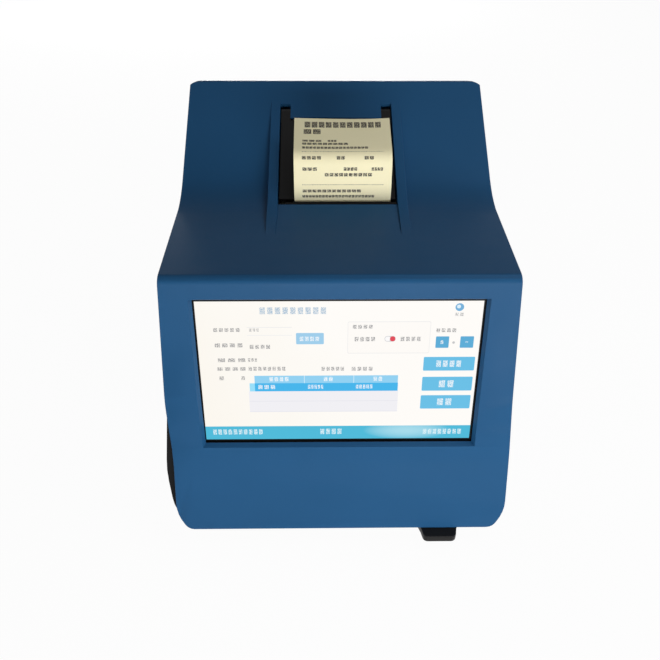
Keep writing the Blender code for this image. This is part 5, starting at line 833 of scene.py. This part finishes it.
# Each row has its left and right in shares of the width, its low and high edge in millimetres
# along the slip, and its count of marks. The rules are dotted lines between the rows.
PRINT_ROWS = (
    (0.105, 0.914, 64.1, 69.2, 11), (0.095, 0.288, 58.4, 62.6, 2),
    (0.083, 0.290, 51.6, 53.2, 3), (0.345, 0.440, 51.6, 53.2, 3),
    (0.083, 0.560, 48.9, 50.7, 9), (0.083, 0.762, 45.5, 47.3, 18),
    (0.081, 0.283, 38.0, 40.0, 4), (0.435, 0.525, 38.0, 40.0, 2), (0.717, 0.818, 38.0, 40.0, 2),
    (0.087, 0.242, 31.5, 33.5, 3), (0.506, 0.648, 31.5, 33.5, 4), (0.790, 0.910, 31.5, 33.5, 4),
    (0.313, 0.802, 28.0, 30.0, 10),
    (0.085, 0.694, 18.2, 20.0, 12), (0.082, 0.832, 14.6, 16.4, 22),
)
RULES = (43.0, 22.8)
RULE_HEIGHT = 0.35
RULE_DOTS = 60.0
ink = 0.0
for left, right, low, high, count in PRINT_ROWS:
    cell = ((slip_u - left) * (count / (right - left))).fraction()
    ink = slip_u.between(left, right) * slip_mm.between(low, high) * cell.between(0.04, 0.86) + ink
for height in RULES:
    dots = (slip_u * RULE_DOTS).fraction().between(0.0, 0.6)
    ink = slip_u.between(0.08, 0.92) * slip_mm.between(height, height + RULE_HEIGHT) * dots + ink
bare = print_finish.shader.inputs["Base Color"].links[0].from_socket
inked = (ink * print_mask).smallest(1.0) * INK_COVER
print_finish.feed({"Base Color": print_finish.mix(inked, bare, INK)})
slip.data.materials.append(print_finish.material)
slip.data.materials.append(paper("bare_paper", PAPER).material)
thick = slip.modifiers.new("thickness", "SOLIDIFY")
thick.thickness = SLIP_THICKNESS
thick.offset = 0.0
thick.material_offset = 1
thick.material_offset_rim = 1
bpy.ops.object.modifier_apply(modifier=thick.name)
bpy.ops.object.shade_smooth_by_angle(angle=EDGE_ANGLE)
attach(slip, "lid")
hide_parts("paper_strip")

# Card tray
# Black acetal tray with a card well and a rack along its left edge, pushed out by its motor.
tray_finish = moulded("tray_moulding", (0.0085, 0.0083, 0.0082), 0.42, 0.14, 0.16, 0.006)
finished_copy("card_tray", tray_finish, slot="black_plastic")

# Card reader
# The tray runs between two rails on the base, and its motor and the optics stand on steel plates.
dark_finish = moulded("dark_moulding", (0.020, 0.021, 0.023), 0.50, 0.32, 0.30, 0.015)
for name in ("tray_rail_left", "tray_rail_right", "optics_head"):
    finished_copy(name, dark_finish, slot="dark_plastic")
for name in ("motor_bracket", "optics_bridge"):
    finished_copy(name, plated_finish, 0.0001, slot="steel")
finished_copy("tray_motor", motor_finish, 0.0002, slot="steel")
finished_copy("tray_pinion", brass_finish, slot="brass")
lens_finish = Finish("coated_lens", (0.80, 0.86, 0.90), 0.04, 0.0, 0.5)
lens_place = lens_finish.place()
lens_tint = lens_finish.noise(lens_place, 150.0)
lens_finish.feed({
    "Transmission Weight": 0.9,
    "Base Color": lens_finish.mix(lens_tint, (0.78, 0.84, 0.92), (0.86, 0.90, 0.90)),
    "Roughness": lens_finish.noise(lens_place, 400.0, 3.0) * 0.05 + 0.02,
})
finished_copy("optics_lens", lens_finish, slot="lens_glass")

# Control board
# Main board on the floor of the base, with its heat sink clipped over the processor.
finished_copy("control_board", board_finish, slot="circuit_board")
sink_finish = metal("anodised_sink", (0.20, 0.20, 0.21), 0.42, (6.0, 0.3, 6.0))
finished_copy("heat_sink", sink_finish, slot="steel")

# Rear panel
# Dark inset panel that carries the fan, the switch and the sockets, held by four screws.
panel_finish = moulded("panel_moulding", (0.016, 0.016, 0.018), 0.52, 0.28, 0.34, 0.012)
finished_copy("rear_panel", panel_finish, 0.0002, slot="dark_plastic")
REAR_SCREW_COUNT = 4
for index in range(1, REAR_SCREW_COUNT + 1):
    finished_copy(f"rear_screw_{index}", screw_finish, 0.0001, slot="steel")

# Fan
# Standard small fan behind the grille of the rear panel, its rotor moulded in one with the hub.
fan_finish = moulded("fan_moulding", (0.008, 0.008, 0.009), 0.42, 0.34, 0.14, 0.02)
finished_copy("fan_frame", fan_finish, 0.0002, slot="black_plastic")
finished_copy("fan_rotor", fan_finish, slot="black_plastic")

# Power switch
# Snap-in rocker switch, with the usual line and ring moulded into the rocker's face in white.
finished_copy("switch_housing", fan_finish, 0.0003, slot="black_plastic")
MARK_WHITE = (0.70, 0.70, 0.68)
LINE_HALF = 0.0004
LINE_RISE = (0.0024, 0.0050)
RING_DROP = 0.0038
RING_RADII = (0.0012, 0.0018)
rocker_finish = moulded("rocker_moulding", (0.010, 0.010, 0.011), 0.34, 0.36, 0.10, 0.01)
rocker_x, rocker_y, rocker_z = rocker_finish.axes(rocker_finish.place())
rocker_low, rocker_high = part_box("power_rocker")
rocker_middle = (rocker_low + rocker_high) / 2
mark_x = rocker_x - rocker_middle.x
line_z = rocker_z - rocker_middle.z
line_mark = mark_x.between(-LINE_HALF, LINE_HALF) * line_z.between(*LINE_RISE)
ring_z = rocker_z - (rocker_middle.z - RING_DROP)
ring_limits = [radius * radius for radius in RING_RADII]
ring_mark = (mark_x * mark_x + ring_z * ring_z).between(*ring_limits)
outer_face = rocker_y > rocker_middle.y
moulded_colour = rocker_finish.shader.inputs["Base Color"].links[0].from_socket
rocker_marks = (line_mark + ring_mark) * outer_face
rocker_finish.feed({"Base Color": rocker_finish.mix(rocker_marks, moulded_colour, MARK_WHITE)})
finished_copy("power_rocker", rocker_finish, 0.0003, slot="dark_plastic")

# Sockets
# Power, network, host and serial sockets, soldered to a board edge and showing through the panel.
for name in ("power_socket", "serial_socket"):
    finished_copy(name, dark_finish, 0.0002, slot="dark_plastic")
socket_finish = metal("socket_shell", (0.52, 0.52, 0.51), 0.26, (0.3, 1.0, 6.0))
for name in ("usb_socket", "network_socket"):
    finished_copy(name, socket_finish, 0.0001, slot="steel")
